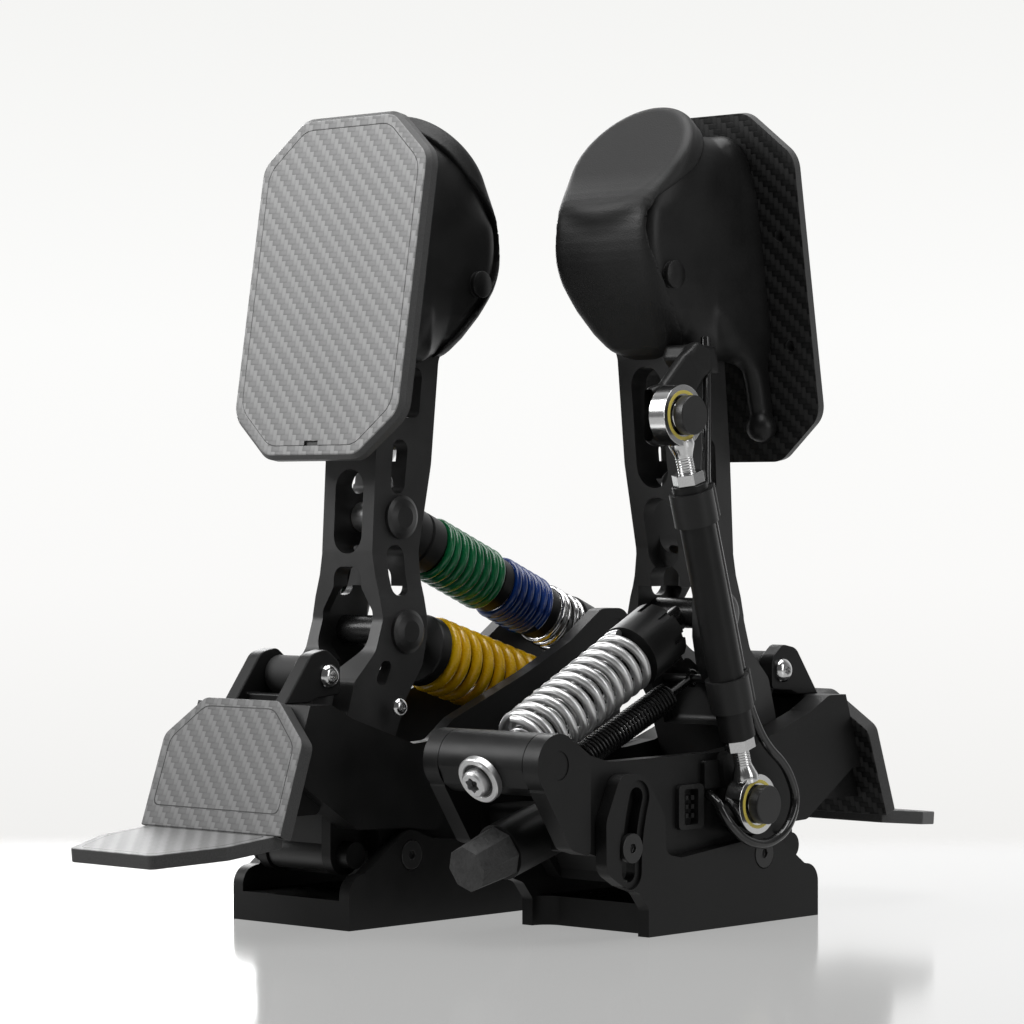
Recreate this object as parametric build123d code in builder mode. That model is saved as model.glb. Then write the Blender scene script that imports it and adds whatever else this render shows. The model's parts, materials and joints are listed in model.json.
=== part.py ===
from build123d import *
import os
from math import atan2, cos, degrees, hypot, pi, radians, sin, sqrt, tan

# Sim racing pedal set: a brake pedal and a throttle pedal, one row, standing back to back.
# Each pedal has its own frame: x across, y from the base's front edge to the springs, z up.
# The set's origin is the middle of its footprint, at the foot of the bases.

os.makedirs("parts", exist_ok=True)

# Driving sizes, millimetres
# Side layout: outline corners and pivot places are shares of this module.
layout_module = 100.0
pitch_across = 90.7
pitch_along = 154.8

# Running gaps
pin_fit = 0.05
slide_fit = 0.08
open_pivot_gap = 0.6
open_ball_gap = 1.0
side_gap = 0.3
seat_gap = 0.3
cut_overrun = 5.0

# Base channel
base_width = 60.0
base_wall = 5.0
base_floor = 10.5
base_length = 97.0
floor_setback = 7.0
floor_corner = 8.0
ear_radius = 9.0
slot_width = 7.0
track_width = 12.0
track_depth = 1.0
slot_low_angle = 6.5
slot_high_angle = 13.8
bolt_shank = 3.0
bolt_head = 5.25
bolt_head_depth = 1.6
bolt_proud = 0.25
hex_socket = 1.8
hex_depth = 1.2
mount_hole = 3.3
mount_across = 30.0
mount_along = 50.0
mount_start = 22.0

# Housing
housing_wall = 5.7
cheek_depth = 4.3
leg_radius = 7.5
leg_thickness = 4.5
leg_top_share = 0.46
web_low_share = 0.17
web_thickness = 4.5
ear_depth = 2.3
ear_inset = 1.0
trunnion_ear_radius = 11.0
gland_radius = 10.0
gland_length = 31.0
gland_tilt = 16.0
knob_radius = 9.5
knob_length = 17.0
knob_bore = 3.0
anchor_pin = 1.5
screw_boss = 2.6

# Sensor socket in the housing's left side
socket_width = 14.0
socket_height = 16.0
socket_depth = 5.0
socket_proud = 1.6
socket_rim = 1.6
socket_corner = 2.0
contact_size = 1.6
contact_pitch = 3.2
contact_rows = 3
contact_columns = 2

# Stop bracket, roller and heel plate
bracket_outer = 16.0
bracket_ear = 6.0
bracket_floor = 3.0
axle_radius = 2.5
roller_radius = 7.0
heel_thickness = 6.0
heel_height = 45.5
heel_width = 72.0
heel_top_width = 38.0
heel_shoulder = 31.0
heel_corner = 5.0
heel_drop = 3.0
rest_thickness = 5.0
rest_length = 50.5
rest_width = 66.0
rest_tip_width = 42.0
rest_straight = 26.0
rest_corner = 3.0

# Arm
arm_gap = 0.8
hub_radius = 6.5
hub_half_width = 14.2
neck_half_width = 13.0
slot_half_width = 7.2
fork_half_width = 12.9
head_radius = 8.0
shaft_radius = 4.85
shaft_overhang = 5.3
cross_pin = 4.0
pin_cap_radius = 8.0
pin_cap_depth = 2.8
pod_pin = 4.0
pod_pin_head = 5.0

# Pod, pad plate and inlay
pad_width = 87.4
pad_height = 128.7
pad_thickness = 5.2
pad_tilt = 9.24
pad_top_flat = 47.3
pad_bottom_flat = 47.9
pad_top_chamfer = 17.1
pad_bottom_chamfer = 16.3
pad_corner = 10.0
pad_bevel = 1.8
inlay_inset = 4.9
inlay_thickness = 1.0
inlay_gap = 0.15
pad_hole = 2.2
pad_hole_across = 67.0
pad_notch_width = 7.0
pad_notch_depth = 1.8
pod_half_width = 24.5
channel_gap = 0.6
cap_tilt = 51.5
cap_radius = 26.0
cap_depth = 9.0
cap_edge = 3.5
lug_thickness = 4.0
lug_inner = 25.0
lug_radius = 11.0
rib_inner = 14.2
rib_width = 8.0

# Tie rod
rod_plane = 34.5
ball_radius = 6.6
ball_neck = 4.0
ball_collar = 5.6
ring_radius = 10.8
ring_width = 7.0
ring_root = 4.7
rod_thread = 3.0
nut_across_flats = 10.0
nut_height = 4.0
nut_start = 21.0
tube_start = 25.2
tube_radius = 6.4
thread_in_tube = 8.0
ball_bolt_head = 7.0
ball_bolt_head_height = 4.0
ball_bolt_head_start = 4.6
ball_bolt_seat = 9.0
clip_wall = 1.5
clip_length = 12.0
upper_clip_station = 111.5
lower_clip_station = 42.0
cable_radius = 1.75
cable_beside_rod = 8.6

# Spring units: rods, collars, coils
rod_radius = 4.5
eye_radius = 5.6
barrel_radius = 11.0
barrel_flat = 10.4
stub_radius = 5.0
washer_radius = 8.4
washer_thickness = 2.2
screw_radius = 4.6
screw_head = 1.2
collar_notch = 2.2
collar_notch_count = 8

brake_collar_radius = 13.4
brake_collar_start = 25.6
brake_collar_length = 24.1
brake_coil_radius = 13.6
brake_wire = 4.0
brake_turns = 8

throttle_collar_radius = 12.2
throttle_collar_start = 16.2
throttle_collar_length = 18.2
throttle_coil_radius = 10.2
throttle_wire = 3.1
throttle_turns = 12
inner_coil_radius = 6.6
inner_wire = 1.1
inner_turns = 20

upper_collar_start = 14.0
upper_collar_length = 23.5
upper_collar_radius = 11.2
green_length = 27.0
blue_length = 23.7
chrome_length = 14.8
spacer_length = 5.1
spacer_radius = 10.8
stack_coil_radius = 11.0
green_wire = 4.0
blue_wire = 3.3
stack_turns = 5
chrome_coil_radius = 12.0
chrome_wire = 1.7
chrome_turns = 3
end_cap_radius = 12.6
end_cap_length = 9.0

draw_coil_radius = 5.2
draw_wire = 1.3
draw_turns = 28
draw_gap = 0.5
draw_bar = 1.6
draw_lead = 15.0
draw_plug = 4.0
hook_eye = 3.4
hook_half_width = 1.6

# Places, as shares of the layout module, (y, z)
tilt_pivot_share = (0.320, 0.250)
slot_bolt_share = (1.065, 0.320)
main_pivot_share = (0.090, 0.260)
pod_pivot_share = (0.755, 2.340)
rod_low_share = (0.455, 0.442)
rod_high_share = (0.875, 1.833)
brake_low_pin_share = (0.415, 1.055)
brake_low_seat_share = (1.450, 0.740)
brake_high_pin_share = (0.435, 1.474)
brake_high_seat_share = (1.520, 1.030)
throttle_pin_share = (0.415, 1.122)
throttle_seat_share = (1.410, 0.624)
hook_pin_share = (0.370, 0.880)
anchor_share = (1.040, 0.594)
axle_share = (0.035, 0.903)
gland_share = (1.120, 0.397)
socket_share = (0.690, 0.440)
heel_foot_share = (-0.390, 0.397)
heel_head_share = (-0.247, 0.810)
rest_start_share = (-0.360, 0.370)
rest_end_share = (-0.860, 0.325)
pad_centre_share = (0.196, 2.321)
cap_face_share = (0.735, 2.775)
bracket_seat_share = 0.810

# Outlines, rows of (y, z, corner radius) as shares of the layout module
wall_shares = [
    (0.000, 0.000, 0.000), (0.970, 0.000, 0.000), (0.970, 0.100, 0.020), (1.020, 0.160, 0.040),
    (1.110, 0.190, 0.040), (1.195, 0.240, 0.060), (1.198, 0.420, 0.100), (1.120, 0.580, 0.060),
    (0.990, 0.575, 0.070), (0.880, 0.420, 0.080), (0.875, 0.285, 0.040), (0.790, 0.268, 0.040),
    (0.440, 0.302, 0.030), (0.370, 0.324, 0.000), (0.330, 0.339, 0.000), (0.269, 0.324, 0.000),
    (0.080, 0.198, 0.020), (0.000, 0.188, 0.070),
]
front_plate_shares = [
    (0.205, 0.170, 0.020), (0.205, 0.349, 0.015), (0.052, 0.357, 0.050), (-0.225, 0.533, 0.030),
    (-0.290, 0.533, 0.000), (-0.220, 0.810, 0.000), (-0.080, 0.810, 0.040), (0.030, 0.754, 0.060),
    (0.248, 0.683, 0.080), (0.360, 0.646, 0.060),
]
throttle_plate_shares = [
    (0.520, 0.626, 0.080), (1.120, 0.622, 0.100), (1.300, 0.670, 0.030), (1.300, 0.330, 0.040),
    (1.180, 0.295, 0.040), (0.980, 0.285, 0.040), (0.885, 0.170, 0.030),
]
brake_plate_shares = [
    (0.500, 0.655, 0.060), (0.600, 0.730, 0.080), (1.010, 0.890, 0.100), (1.250, 1.000, 0.080),
    (1.430, 1.120, 0.060), (1.600, 1.120, 0.080), (1.610, 0.960, 0.080), (1.540, 0.880, 0.060),
    (1.540, 0.420, 0.100), (1.440, 0.300, 0.060), (0.980, 0.285, 0.040), (0.885, 0.170, 0.030),
]
cheek_shares = [
    (-0.290, 0.533, 0.000), (-0.220, 0.810, 0.000), (-0.080, 0.810, 0.040), (0.030, 0.754, 0.060),
    (0.248, 0.683, 0.080), (0.360, 0.646, 0.060), (0.560, 0.626, 0.060), (0.520, 0.480, 0.080),
    (0.470, 0.330, 0.030), (0.304, 0.348, 0.040), (0.052, 0.357, 0.050), (-0.225, 0.533, 0.030),
]
shoulder_shares = [
    (-0.380, 0.420, 0.000), (-0.280, 0.810, 0.000), (-0.090, 0.810, 0.020), (-0.090, 0.420, 0.030),
]
raised_block_shares = [
    (0.490, 0.500, 0.010), (0.620, 0.500, 0.010), (0.620, 0.600, 0.010), (0.490, 0.600, 0.010),
]
wing_ear_shares = [
    (1.245, 0.650, 0.010), (1.330, 0.705, 0.000), (1.490, 0.545, 0.020), (1.345, 0.330, 0.040),
    (1.245, 0.300, 0.020),
]
gland_block_shares = [
    (1.050, 0.310, 0.010), (1.250, 0.310, 0.010), (1.270, 0.460, 0.030), (1.050, 0.460, 0.030),
]
brake_web_shares = [
    (0.880, 0.290, 0.010), (1.440, 0.310, 0.010), (1.440, 0.350, 0.010), (0.880, 0.330, 0.010),
]
rear_step_shares = [
    (0.860, 0.170, 0.010), (0.950, 0.300, 0.010), (0.950, 0.350, 0.010), (0.830, 0.215, 0.010),
]
bracket_shares = [
    (-0.182, 0.810, 0.000), (-0.050, 0.985, 0.060), (0.030, 1.000, 0.040), (0.096, 0.950, 0.050),
    (0.096, 0.835, 0.020), (-0.020, 0.825, 0.010), (-0.060, 0.810, 0.000),
]
bumper_shares = [
    (-0.010, 0.850, 0.010), (0.035, 0.790, 0.020), (0.112, 0.777, 0.008), (0.138, 0.865, 0.008),
    (0.080, 0.930, 0.010),
]
arm_shares = [
    (0.036, 0.280, 0.000), (0.055, 0.500, 0.000), (0.107, 0.750, 0.060), (0.146, 0.880, 0.060),
    (0.254, 0.985, 0.080), (0.292, 1.100, 0.060), (0.289, 1.350, 0.200), (0.307, 1.680, 0.200),
    (0.340, 2.050, 0.040), (0.698, 2.397, 0.000), (0.812, 2.283, 0.000), (0.670, 2.130, 0.030),
    (0.639, 2.050, 0.060), (0.600, 1.670, 0.150), (0.535, 1.360, 0.060), (0.523, 1.220, 0.040),
    (0.525, 1.040, 0.040), (0.500, 0.930, 0.060), (0.414, 0.810, 0.060), (0.360, 0.680, 0.060),
    (0.300, 0.520, 0.060), (0.152, 0.270, 0.000),
]
# Arm seen from the front: (half width as a share of the full half width, z share, corner share)
arm_front_shares = [
    (0.780, 0.100, 0.000), (0.780, 0.500, 0.040), (1.000, 0.610, 0.040), (1.000, 1.110, 0.020),
    (0.920, 1.180, 0.040), (0.790, 1.260, 0.040), (0.714, 1.340, 0.040), (0.714, 2.600, 0.000),
]
# Openings in the arm's front: (half width share of the fork, z share, corner share)
fork_opening_shares = [
    (0.520, 1.292, 0.045), (0.560, 1.215, 0.030), (1.000, 1.130, 0.040), (1.000, 1.010, 0.070),
    (0.300, 0.905, 0.030),
]
upper_slot_share = (1.340, 1.650)
rear_low_slot_share = (1.280, 1.545)
rear_high_slot_share = (1.580, 2.020)
slot_floor_share = (0.200, 0.500)
rear_slot_floor_share = (0.470, 0.800)
rear_pocket_shares = [
    (0.330, 0.720, 0.030), (0.330, 1.220, 0.030), (0.700, 1.220, 0.000), (0.700, 0.650, 0.000),
]
side_window_shares = [
    [(0.445, 1.840, 0.030), (0.535, 1.840, 0.030), (0.555, 2.030, 0.040), (0.465, 2.030, 0.040)],
    [(0.385, 1.560, 0.035), (0.455, 1.560, 0.035), (0.480, 1.760, 0.040), (0.395, 1.760, 0.040)],
    [(0.362, 1.185, 0.035), (0.445, 1.185, 0.035), (0.455, 1.370, 0.040), (0.362, 1.370, 0.040)],
    [(0.250, 0.870, 0.020), (0.305, 0.860, 0.020), (0.345, 0.950, 0.020), (0.290, 0.950, 0.020)],
]
pod_shares = [
    (0.050, 2.045, 0.000), (0.050, 2.905, 0.000), (0.300, 2.912, 0.020), (0.560, 2.950, 0.000),
    (0.900, 2.530, 0.000), (0.867, 2.510, 0.000), (0.867, 2.404, 0.400), (0.832, 2.270, 0.400),
    (0.750, 2.143, 0.400), (0.675, 2.078, 0.000), (0.640, 2.095, 0.010), (0.500, 2.090, 0.060),
    (0.330, 2.045, 0.060),
]
# Pod seen from the front, and from above: (half width share, z or y share, corner share)
pod_front_shares = [
    (0.610, 2.000, 0.000), (0.690, 2.090, 0.100), (0.900, 2.230, 0.400), (0.935, 2.420, 0.200),
    (0.920, 2.540, 0.150), (1.000, 2.680, 0.150), (0.985, 2.840, 0.200), (0.870, 2.910, 0.120),
    (0.620, 2.960, 0.140), (0.300, 2.985, 0.000),
]
pod_plan_shares = [
    (0.700, 0.050, 0.000), (0.720, 0.220, 0.100), (0.900, 0.420, 0.300), (1.000, 0.600, 0.200),
    (1.000, 1.100, 0.000),
]
channel_shares = [
    (0.000, 1.880, 0.000), (0.000, 2.060, 0.000), (0.190, 2.210, 0.000), (0.640, 2.465, 0.000),
    (0.960, 2.465, 0.000), (0.960, 1.880, 0.000),
]
lobe_shares = [
    (0.867, 2.510, 0.000), (0.867, 2.404, 0.400), (0.832, 2.270, 0.400), (0.750, 2.143, 0.400),
    (0.675, 2.078, 0.000), (0.690, 2.050, 0.010), (0.770, 2.125, 0.400), (0.858, 2.260, 0.400),
    (0.895, 2.400, 0.400), (0.895, 2.570, 0.020), (0.840, 2.620, 0.000), (0.800, 2.580, 0.000),
]
# Cap lobe seen from the rear: (half width as a share of the cap's radius, z share, corner share)
lobe_front_shares = [
    (0.460, 2.045, 0.000), (0.720, 2.110, 0.200), (0.900, 2.250, 0.300), (0.935, 2.420, 0.300),
    (0.910, 2.580, 0.100), (0.910, 2.640, 0.000),
]
rib_shares = [
    (0.050, 1.755, 0.000), (0.050, 2.100, 0.000), (0.420, 2.100, 0.000), (0.250, 1.970, 0.100),
    (0.185, 1.850, 0.040), (0.170, 1.755, 0.030),
]
lug_block_shares = [
    (0.520, 2.110, 0.010), (0.700, 2.150, 0.010), (0.765, 2.260, 0.010), (0.700, 2.360, 0.020),
    (0.540, 2.280, 0.020),
]
lug_shares = [
    (0.765, 1.833, 0.000), (0.620, 2.130, 0.010), (0.590, 2.250, 0.010), (0.700, 2.360, 0.020),
    (0.790, 2.290, 0.010), (0.985, 1.833, 0.000),
]
pad_hole_share = (0.146, -0.168)

# Route of the sensor cable, millimetres: across, along, up
cable_route = [
    (-24.5, 59.0, 212.0), (-26.0, 60.2, 201.0), (-30.5, 65.5, 187.0), (-34.0, 70.3, 172.0),
]
cable_loop = [
    (-35.3, 39.0, 66.0), (-36.5, 27.0, 56.5), (-37.0, 21.5, 44.5), (-37.0, 27.0, 33.8),
    (-37.0, 39.0, 28.8), (-36.5, 51.0, 31.2), (-34.5, 59.0, 38.8), (-31.0, 60.2, 45.4),
    (-25.6, 58.8, 48.0),
]

# Worked-out sizes
wall_inner = base_width / 2 - base_wall
housing_half = wall_inner - side_gap
bay_half = housing_half - housing_wall
cheek_half = housing_half + cheek_depth
arm_half = bay_half - arm_gap
leg_inner = bay_half - leg_thickness
quarter = pi / 2

brake_frame = Plane(origin=(-pitch_across / 2, -pitch_along / 2, 0))
throttle_frame = Plane(origin=(pitch_across / 2, pitch_along / 2, 0), x_dir=(-1, 0, 0))


def at(share):
    """Place in the side view from its share of the layout module."""
    return (share[0] * layout_module, share[1] * layout_module)


def side(pedal, x):
    """Side plane at a station across the pedal: sketch x runs rearward, sketch y runs up."""
    return Plane(origin=pedal.from_local_coords((x, 0, 0)), x_dir=pedal.y_dir, z_dir=pedal.x_dir)


def rear(pedal, y):
    """Plane facing forward at a station along the pedal: sketch x runs across, y runs up."""
    return Plane(origin=pedal.from_local_coords((0, y, 0)), x_dir=pedal.x_dir, z_dir=-pedal.y_dir)


def level(pedal, z):
    """Level plane at a height: sketch x runs across, sketch y runs rearward."""
    return Plane(origin=pedal.from_local_coords((0, 0, z)), x_dir=pedal.x_dir)


def tilted(pedal, place, angle):
    """Plane across the pedal whose sketch y rises at the given angle in the side view."""
    normal = pedal.z_dir * cos(radians(angle)) - pedal.y_dir * sin(radians(angle))
    return Plane(
        origin=pedal.from_local_coords((0, *place)), x_dir=pedal.x_dir, z_dir=normal
    )


def along(pedal, start, end, x=0):
    """Side plane whose sketch x runs from one place to another."""
    run = pedal.y_dir * (end[0] - start[0]) + pedal.z_dir * (end[1] - start[1])
    return Plane(origin=pedal.from_local_coords((x, *start)), x_dir=run, z_dir=pedal.x_dir)


def span(start, end):
    """Distance between two places in the side view."""
    return hypot(end[0] - start[0], end[1] - start[1])


def slab(pedal, low, high, rows, mode=Mode.ADD):
    """Plate between two stations across the pedal, from a rounded side outline."""
    corners = [at(row) for row in rows]
    rounds = [row[2] * layout_module for row in rows]
    with BuildSketch(side(pedal, low)) as face:
        with BuildLine():
            FilletPolyline(*corners, radius=rounds, close=True)
        make_face()
    extrude(face.sketch, amount=high - low, mode=mode)


def slabs(pedal, inner, outer, rows, mode=Mode.ADD):
    """The same plate on both sides of the pedal."""
    slab(pedal, inner, outer, rows, mode)
    slab(pedal, -outer, -inner, rows, mode)


def disc(pedal, low, high, place, radius, mode=Mode.ADD):
    """Round boss, pin or bore across the pedal."""
    with BuildSketch(side(pedal, low)) as face:
        with Locations(place):
            Circle(radius)
    extrude(face.sketch, amount=high - low, mode=mode)


def discs(pedal, inner, outer, place, radius, mode=Mode.ADD):
    """The same round on both sides of the pedal."""
    disc(pedal, inner, outer, place, radius, mode)
    disc(pedal, -outer, -inner, place, radius, mode)


def turned(plane, rows, mode=Mode.ADD):
    """Body of revolution about the plane's x direction, from (station, radius) corners."""
    with BuildSketch(plane) as face:
        with BuildLine():
            Polyline(*rows, close=True)
        make_face()
    revolve(face.sketch, axis=Axis(plane.origin, plane.x_dir), mode=mode)


def ball(pedal, plane, radius, mode=Mode.ADD):
    """Ball about a plane's origin, with its poles on the cross line."""
    with Locations(Plane(origin=plane.origin, z_dir=pedal.x_dir).location):
        Sphere(radius, mode=mode)


def rod(plane, start, end, radius, mode=Mode.ADD):
    """Plain round along the plane's x direction."""
    turned(plane, [(start, 0), (end, 0), (end, radius), (start, radius)], mode)


def mirrored_face(plane, rows, size):
    """Face symmetric about the sketch's y axis, from (share of size, height share, corner) rows."""
    right = [(row[0] * size, row[1] * layout_module) for row in rows]
    rounds = [row[2] * layout_module for row in rows]
    left = [(-x, z) for x, z in reversed(right)]
    with BuildSketch(plane) as face:
        with BuildLine():
            FilletPolyline(*right, *left, radius=rounds + rounds[::-1], close=True)
        make_face()
    return face.sketch


def biarc(start, heading, end, last):
    """Middle point and middle heading of the two arcs that join two points and headings."""
    chord = end - start
    both = heading + last
    spread = 2 * (1 - heading.dot(last))
    reach = (-chord.dot(both) + sqrt(chord.dot(both) ** 2 + spread * chord.dot(chord))) / spread
    before = start + heading * reach
    after = end - last * reach
    return (before + after) / 2, (after - before).normalized()


def coil_points(plane, start, end, radius, turns):
    """Points and headings of a helix about the plane's x direction, every quarter turn."""
    steps = round(turns * 4)
    lead = (end - start) / steps
    climb = lead / quarter
    places = []
    headings = []
    for step in range(steps + 1):
        turn = step * quarter
        ring = plane.y_dir * cos(turn) + plane.z_dir * sin(turn)
        flow = plane.z_dir * cos(turn) - plane.y_dir * sin(turn)
        places.append(plane.origin + plane.x_dir * (start + lead * step) + ring * radius)
        headings.append((flow * radius + plane.x_dir * climb).normalized())
    return places, headings


def coil(plane, start, end, outer, wire, turns, name):
    """One unbroken wound wire between two stations, with its own gap printed."""
    radius = outer - wire / 2
    places, headings = coil_points(plane, start + wire / 2, end - wire / 2, radius, turns)
    with BuildLine() as path:
        for step in range(len(places) - 1):
            middle, flow = biarc(places[step], headings[step], places[step + 1], headings[step + 1])
            TangentArc(places[step], middle, tangent=headings[step])
            TangentArc(middle, places[step + 1], tangent=flow)
    with BuildSketch(Plane(origin=places[0], z_dir=headings[0])) as section:
        Circle(wire / 2)
    sweep(section.sketch, path=path.wire())
    count = len(places)
    gap = min(
        (places[i] - places[j]).length - wire for i in range(count) for j in range(i + 3, count)
    )
    print(f"{name}: {turns} turns, least gap to itself {gap:.2f} mm")


def save(piece, label):
    """Name the finished piece and write it."""
    piece.part.label = label
    export_step(piece.part, f"parts/{label}.step")


# Fixed structure
def make_base(pedal, name):
    """Channel that bolts to the cockpit plate, with the two tilt ears and slotted flanges."""
    tilt_pivot = at(tilt_pivot_share)
    slot_bolt = at(slot_bolt_share)
    slot_reach = span(tilt_pivot, slot_bolt)
    rest_angle = degrees(atan2(slot_bolt[1] - tilt_pivot[1], slot_bolt[0] - tilt_pivot[0]))
    sweep_angle = slot_low_angle + slot_high_angle
    with BuildPart() as base:
        with BuildSketch(level(pedal, 0)):
            with Locations((0, base_length / 2)):
                Rectangle(base_width, base_length)
        extrude(amount=base_floor)
        slabs(pedal, wall_inner, base_width / 2, wall_shares)
        discs(pedal, wall_inner, base_width / 2, tilt_pivot, ear_radius)
        with BuildSketch(level(pedal, -cut_overrun)) as floor_cut:
            with Locations((0, base_length)):
                RectangleRounded(2 * wall_inner, 2 * floor_setback, floor_setback - side_gap)
        extrude(floor_cut.sketch, amount=base_floor + 2 * cut_overrun, mode=Mode.SUBTRACT)
        for x in (-base_width / 2 - cut_overrun, wall_inner - cut_overrun):
            with BuildLine() as slot_line:
                CenterArc(tilt_pivot, slot_reach, rest_angle - slot_low_angle, sweep_angle)
            with BuildSketch(side(pedal, x)) as slot:
                SlotArc(slot_line.edge(), slot_width)
            extrude(slot.sketch, amount=base_wall + 2 * cut_overrun, mode=Mode.SUBTRACT)
        for x in (-base_width / 2, base_width / 2 - track_depth):
            with BuildLine() as track_line:
                CenterArc(tilt_pivot, slot_reach, rest_angle - slot_low_angle, sweep_angle)
            with BuildSketch(side(pedal, x)) as track:
                SlotArc(track_line.edge(), track_width)
            extrude(track.sketch, amount=track_depth, mode=Mode.SUBTRACT)
        disc(pedal, -base_width, base_width, tilt_pivot, bolt_shank + pin_fit, Mode.SUBTRACT)
        seat = base_width / 2 - bolt_head_depth
        discs(pedal, seat, base_width / 2 + cut_overrun, tilt_pivot, bolt_head + side_gap, Mode.SUBTRACT)
        with BuildSketch(level(pedal, -cut_overrun)) as holes:
            with Locations((0, mount_start + mount_along / 2)):
                with GridLocations(mount_across, mount_along, 2, 2):
                    Circle(mount_hole)
        extrude(holes.sketch, amount=base_floor + 2 * cut_overrun, mode=Mode.SUBTRACT)
    save(base, f"{name}_base")


def make_tilt_bolts(pedal, name):
    """Two pivot bolts and two slot bolts that hold the housing between the base walls."""
    seats = (
        (at(tilt_pivot_share), base_width / 2 - bolt_head_depth),
        (at(slot_bolt_share), base_width / 2 - track_depth),
    )
    inner = bay_half + side_gap
    with BuildPart() as bolts:
        for place, seat in seats:
            face = seat + bolt_head_depth + bolt_proud
            discs(pedal, inner, seat, place, bolt_shank)
            discs(pedal, seat, face, place, bolt_head)
            for low in (face - hex_depth, -face):
                with BuildSketch(side(pedal, low)) as socket:
                    with Locations(place):
                        RegularPolygon(hex_socket, 6)
                extrude(socket.sketch, amount=hex_depth, mode=Mode.SUBTRACT)
    save(bolts, f"{name}_tilt_bolts")


def make_housing(pedal, name):
    """Body that tilts in the base and carries the arm, the springs' rear ends and the stop."""
    main_pivot = at(main_pivot_share)
    brake = name == "brake"
    rear_rows = brake_plate_shares if brake else throttle_plate_shares
    web_low = web_low_share * layout_module
    heel = tilted(pedal, at(heel_foot_share), heel_angle())
    with BuildPart() as housing:
        slabs(pedal, bay_half, housing_half, front_plate_shares + rear_rows)
        slabs(pedal, housing_half, cheek_half, cheek_shares)
        disc(pedal, -cheek_half, -bay_half, at(rod_low_share), ball_bolt_seat)
        slab(pedal, -housing_half, housing_half, shoulder_shares)
        # legs that carry the main pivot
        for low, high in ((leg_inner, bay_half), (-bay_half, -leg_inner)):
            disc(pedal, low, high, main_pivot, leg_radius)
            with BuildSketch(side(pedal, low)) as leg:
                top = leg_top_share * layout_module
                with Locations((main_pivot[0], (main_pivot[1] + top) / 2)):
                    Rectangle(2 * leg_radius, top - main_pivot[1])
            extrude(leg.sketch, amount=high - low)
        # webs across the bay
        with BuildSketch(level(pedal, web_low)) as web:
            start = front_plate_shares[0][0] * layout_module
            end = rear_rows[-1][0] * layout_module
            with Locations((0, (start + end) / 2)):
                Rectangle(2 * housing_half, end - start)
        extrude(web.sketch, amount=web_thickness)
        slab(pedal, -bay_half, bay_half, rear_step_shares)
        slab(pedal, -housing_half - socket_proud - side_gap, -bay_half, raised_block_shares)
        if brake:
            slab(pedal, -bay_half, bay_half, brake_web_shares)
        else:
            slab(pedal, -bay_half, bay_half, gland_block_shares)
            ear_low = bay_half + ear_inset
            slabs(pedal, ear_low, housing_half + ear_depth, wing_ear_shares)
            seat = at(throttle_seat_share)
            discs(pedal, ear_low, housing_half + ear_depth, seat, trunnion_ear_radius)
            gland = gland_plane(pedal)
            rod(gland, 0, gland_length, gland_radius)
            rod(gland, gland_length - screw_boss, gland_length + cut_overrun, knob_bore + pin_fit, Mode.SUBTRACT)
            disc(pedal, -bay_half, bay_half, at(anchor_share), anchor_pin)
        # face for the heel plate
        with BuildSketch(heel.offset(-heel_thickness)) as front_cut:
            Rectangle(2 * heel_width, 2 * heel_width)
        extrude(front_cut.sketch, amount=heel_width, mode=Mode.SUBTRACT)
        # bores
        disc(pedal, -base_width, base_width, main_pivot, shaft_radius + pin_fit, Mode.SUBTRACT)
        for place in (at(tilt_pivot_share), at(slot_bolt_share)):
            discs(pedal, bay_half - cut_overrun, base_width, place, bolt_shank + pin_fit, Mode.SUBTRACT)
        disc(
            pedal, -cheek_half - cut_overrun, -bay_half + cut_overrun,
            at(rod_low_share), ball_neck + pin_fit, Mode.SUBTRACT,
        )
        seats = (brake_low_seat_share, brake_high_seat_share) if brake else (throttle_seat_share,)
        for share in seats:
            disc(pedal, -base_width, base_width, at(share), stub_radius + pin_fit, Mode.SUBTRACT)
        socket_place = at(socket_share)
        with BuildSketch(side(pedal, -housing_half - cut_overrun)) as socket_cut:
            with Locations(socket_place):
                RectangleRounded(
                    socket_width + 2 * pin_fit, socket_height + 2 * pin_fit, socket_corner
                )
        extrude(socket_cut.sketch, amount=socket_depth - socket_proud + cut_overrun, mode=Mode.SUBTRACT)
    save(housing, f"{name}_housing")


def gland_plane(pedal):
    """Axis of the rear stop at the foot of the throttle housing."""
    start = at(gland_share)
    end = (start[0] + gland_length, start[1] - gland_length * tan(radians(gland_tilt)))
    return along(pedal, start, end)


def heel_angle():
    """Lean of the heel plate in the side view."""
    foot = at(heel_foot_share)
    head = at(heel_head_share)
    return degrees(atan2(head[1] - foot[1], head[0] - foot[0]))


def make_socket(pedal, name):
    """Sensor socket with two columns of contacts."""
    place = at(socket_share)
    outer = -housing_half - socket_proud
    with BuildPart() as socket:
        with BuildSketch(side(pedal, outer)) as body:
            with Locations(place):
                RectangleRounded(socket_width, socket_height, socket_corner)
        extrude(body.sketch, amount=socket_depth)
        with BuildSketch(side(pedal, outer)) as cavity:
            with Locations(place):
                RectangleRounded(
                    socket_width - 4 * socket_rim, socket_height - 2 * socket_rim, socket_corner / 2
                )
        extrude(cavity.sketch, amount=socket_depth - socket_rim, mode=Mode.SUBTRACT)
        with BuildSketch(side(pedal, outer + socket_rim / 2)) as contacts:
            with Locations(place):
                with GridLocations(contact_pitch, contact_pitch, contact_columns, contact_rows):
                    Rectangle(contact_size, contact_size)
        extrude(contacts.sketch, amount=socket_depth - socket_rim)
    save(socket, f"{name}_socket")


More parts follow.
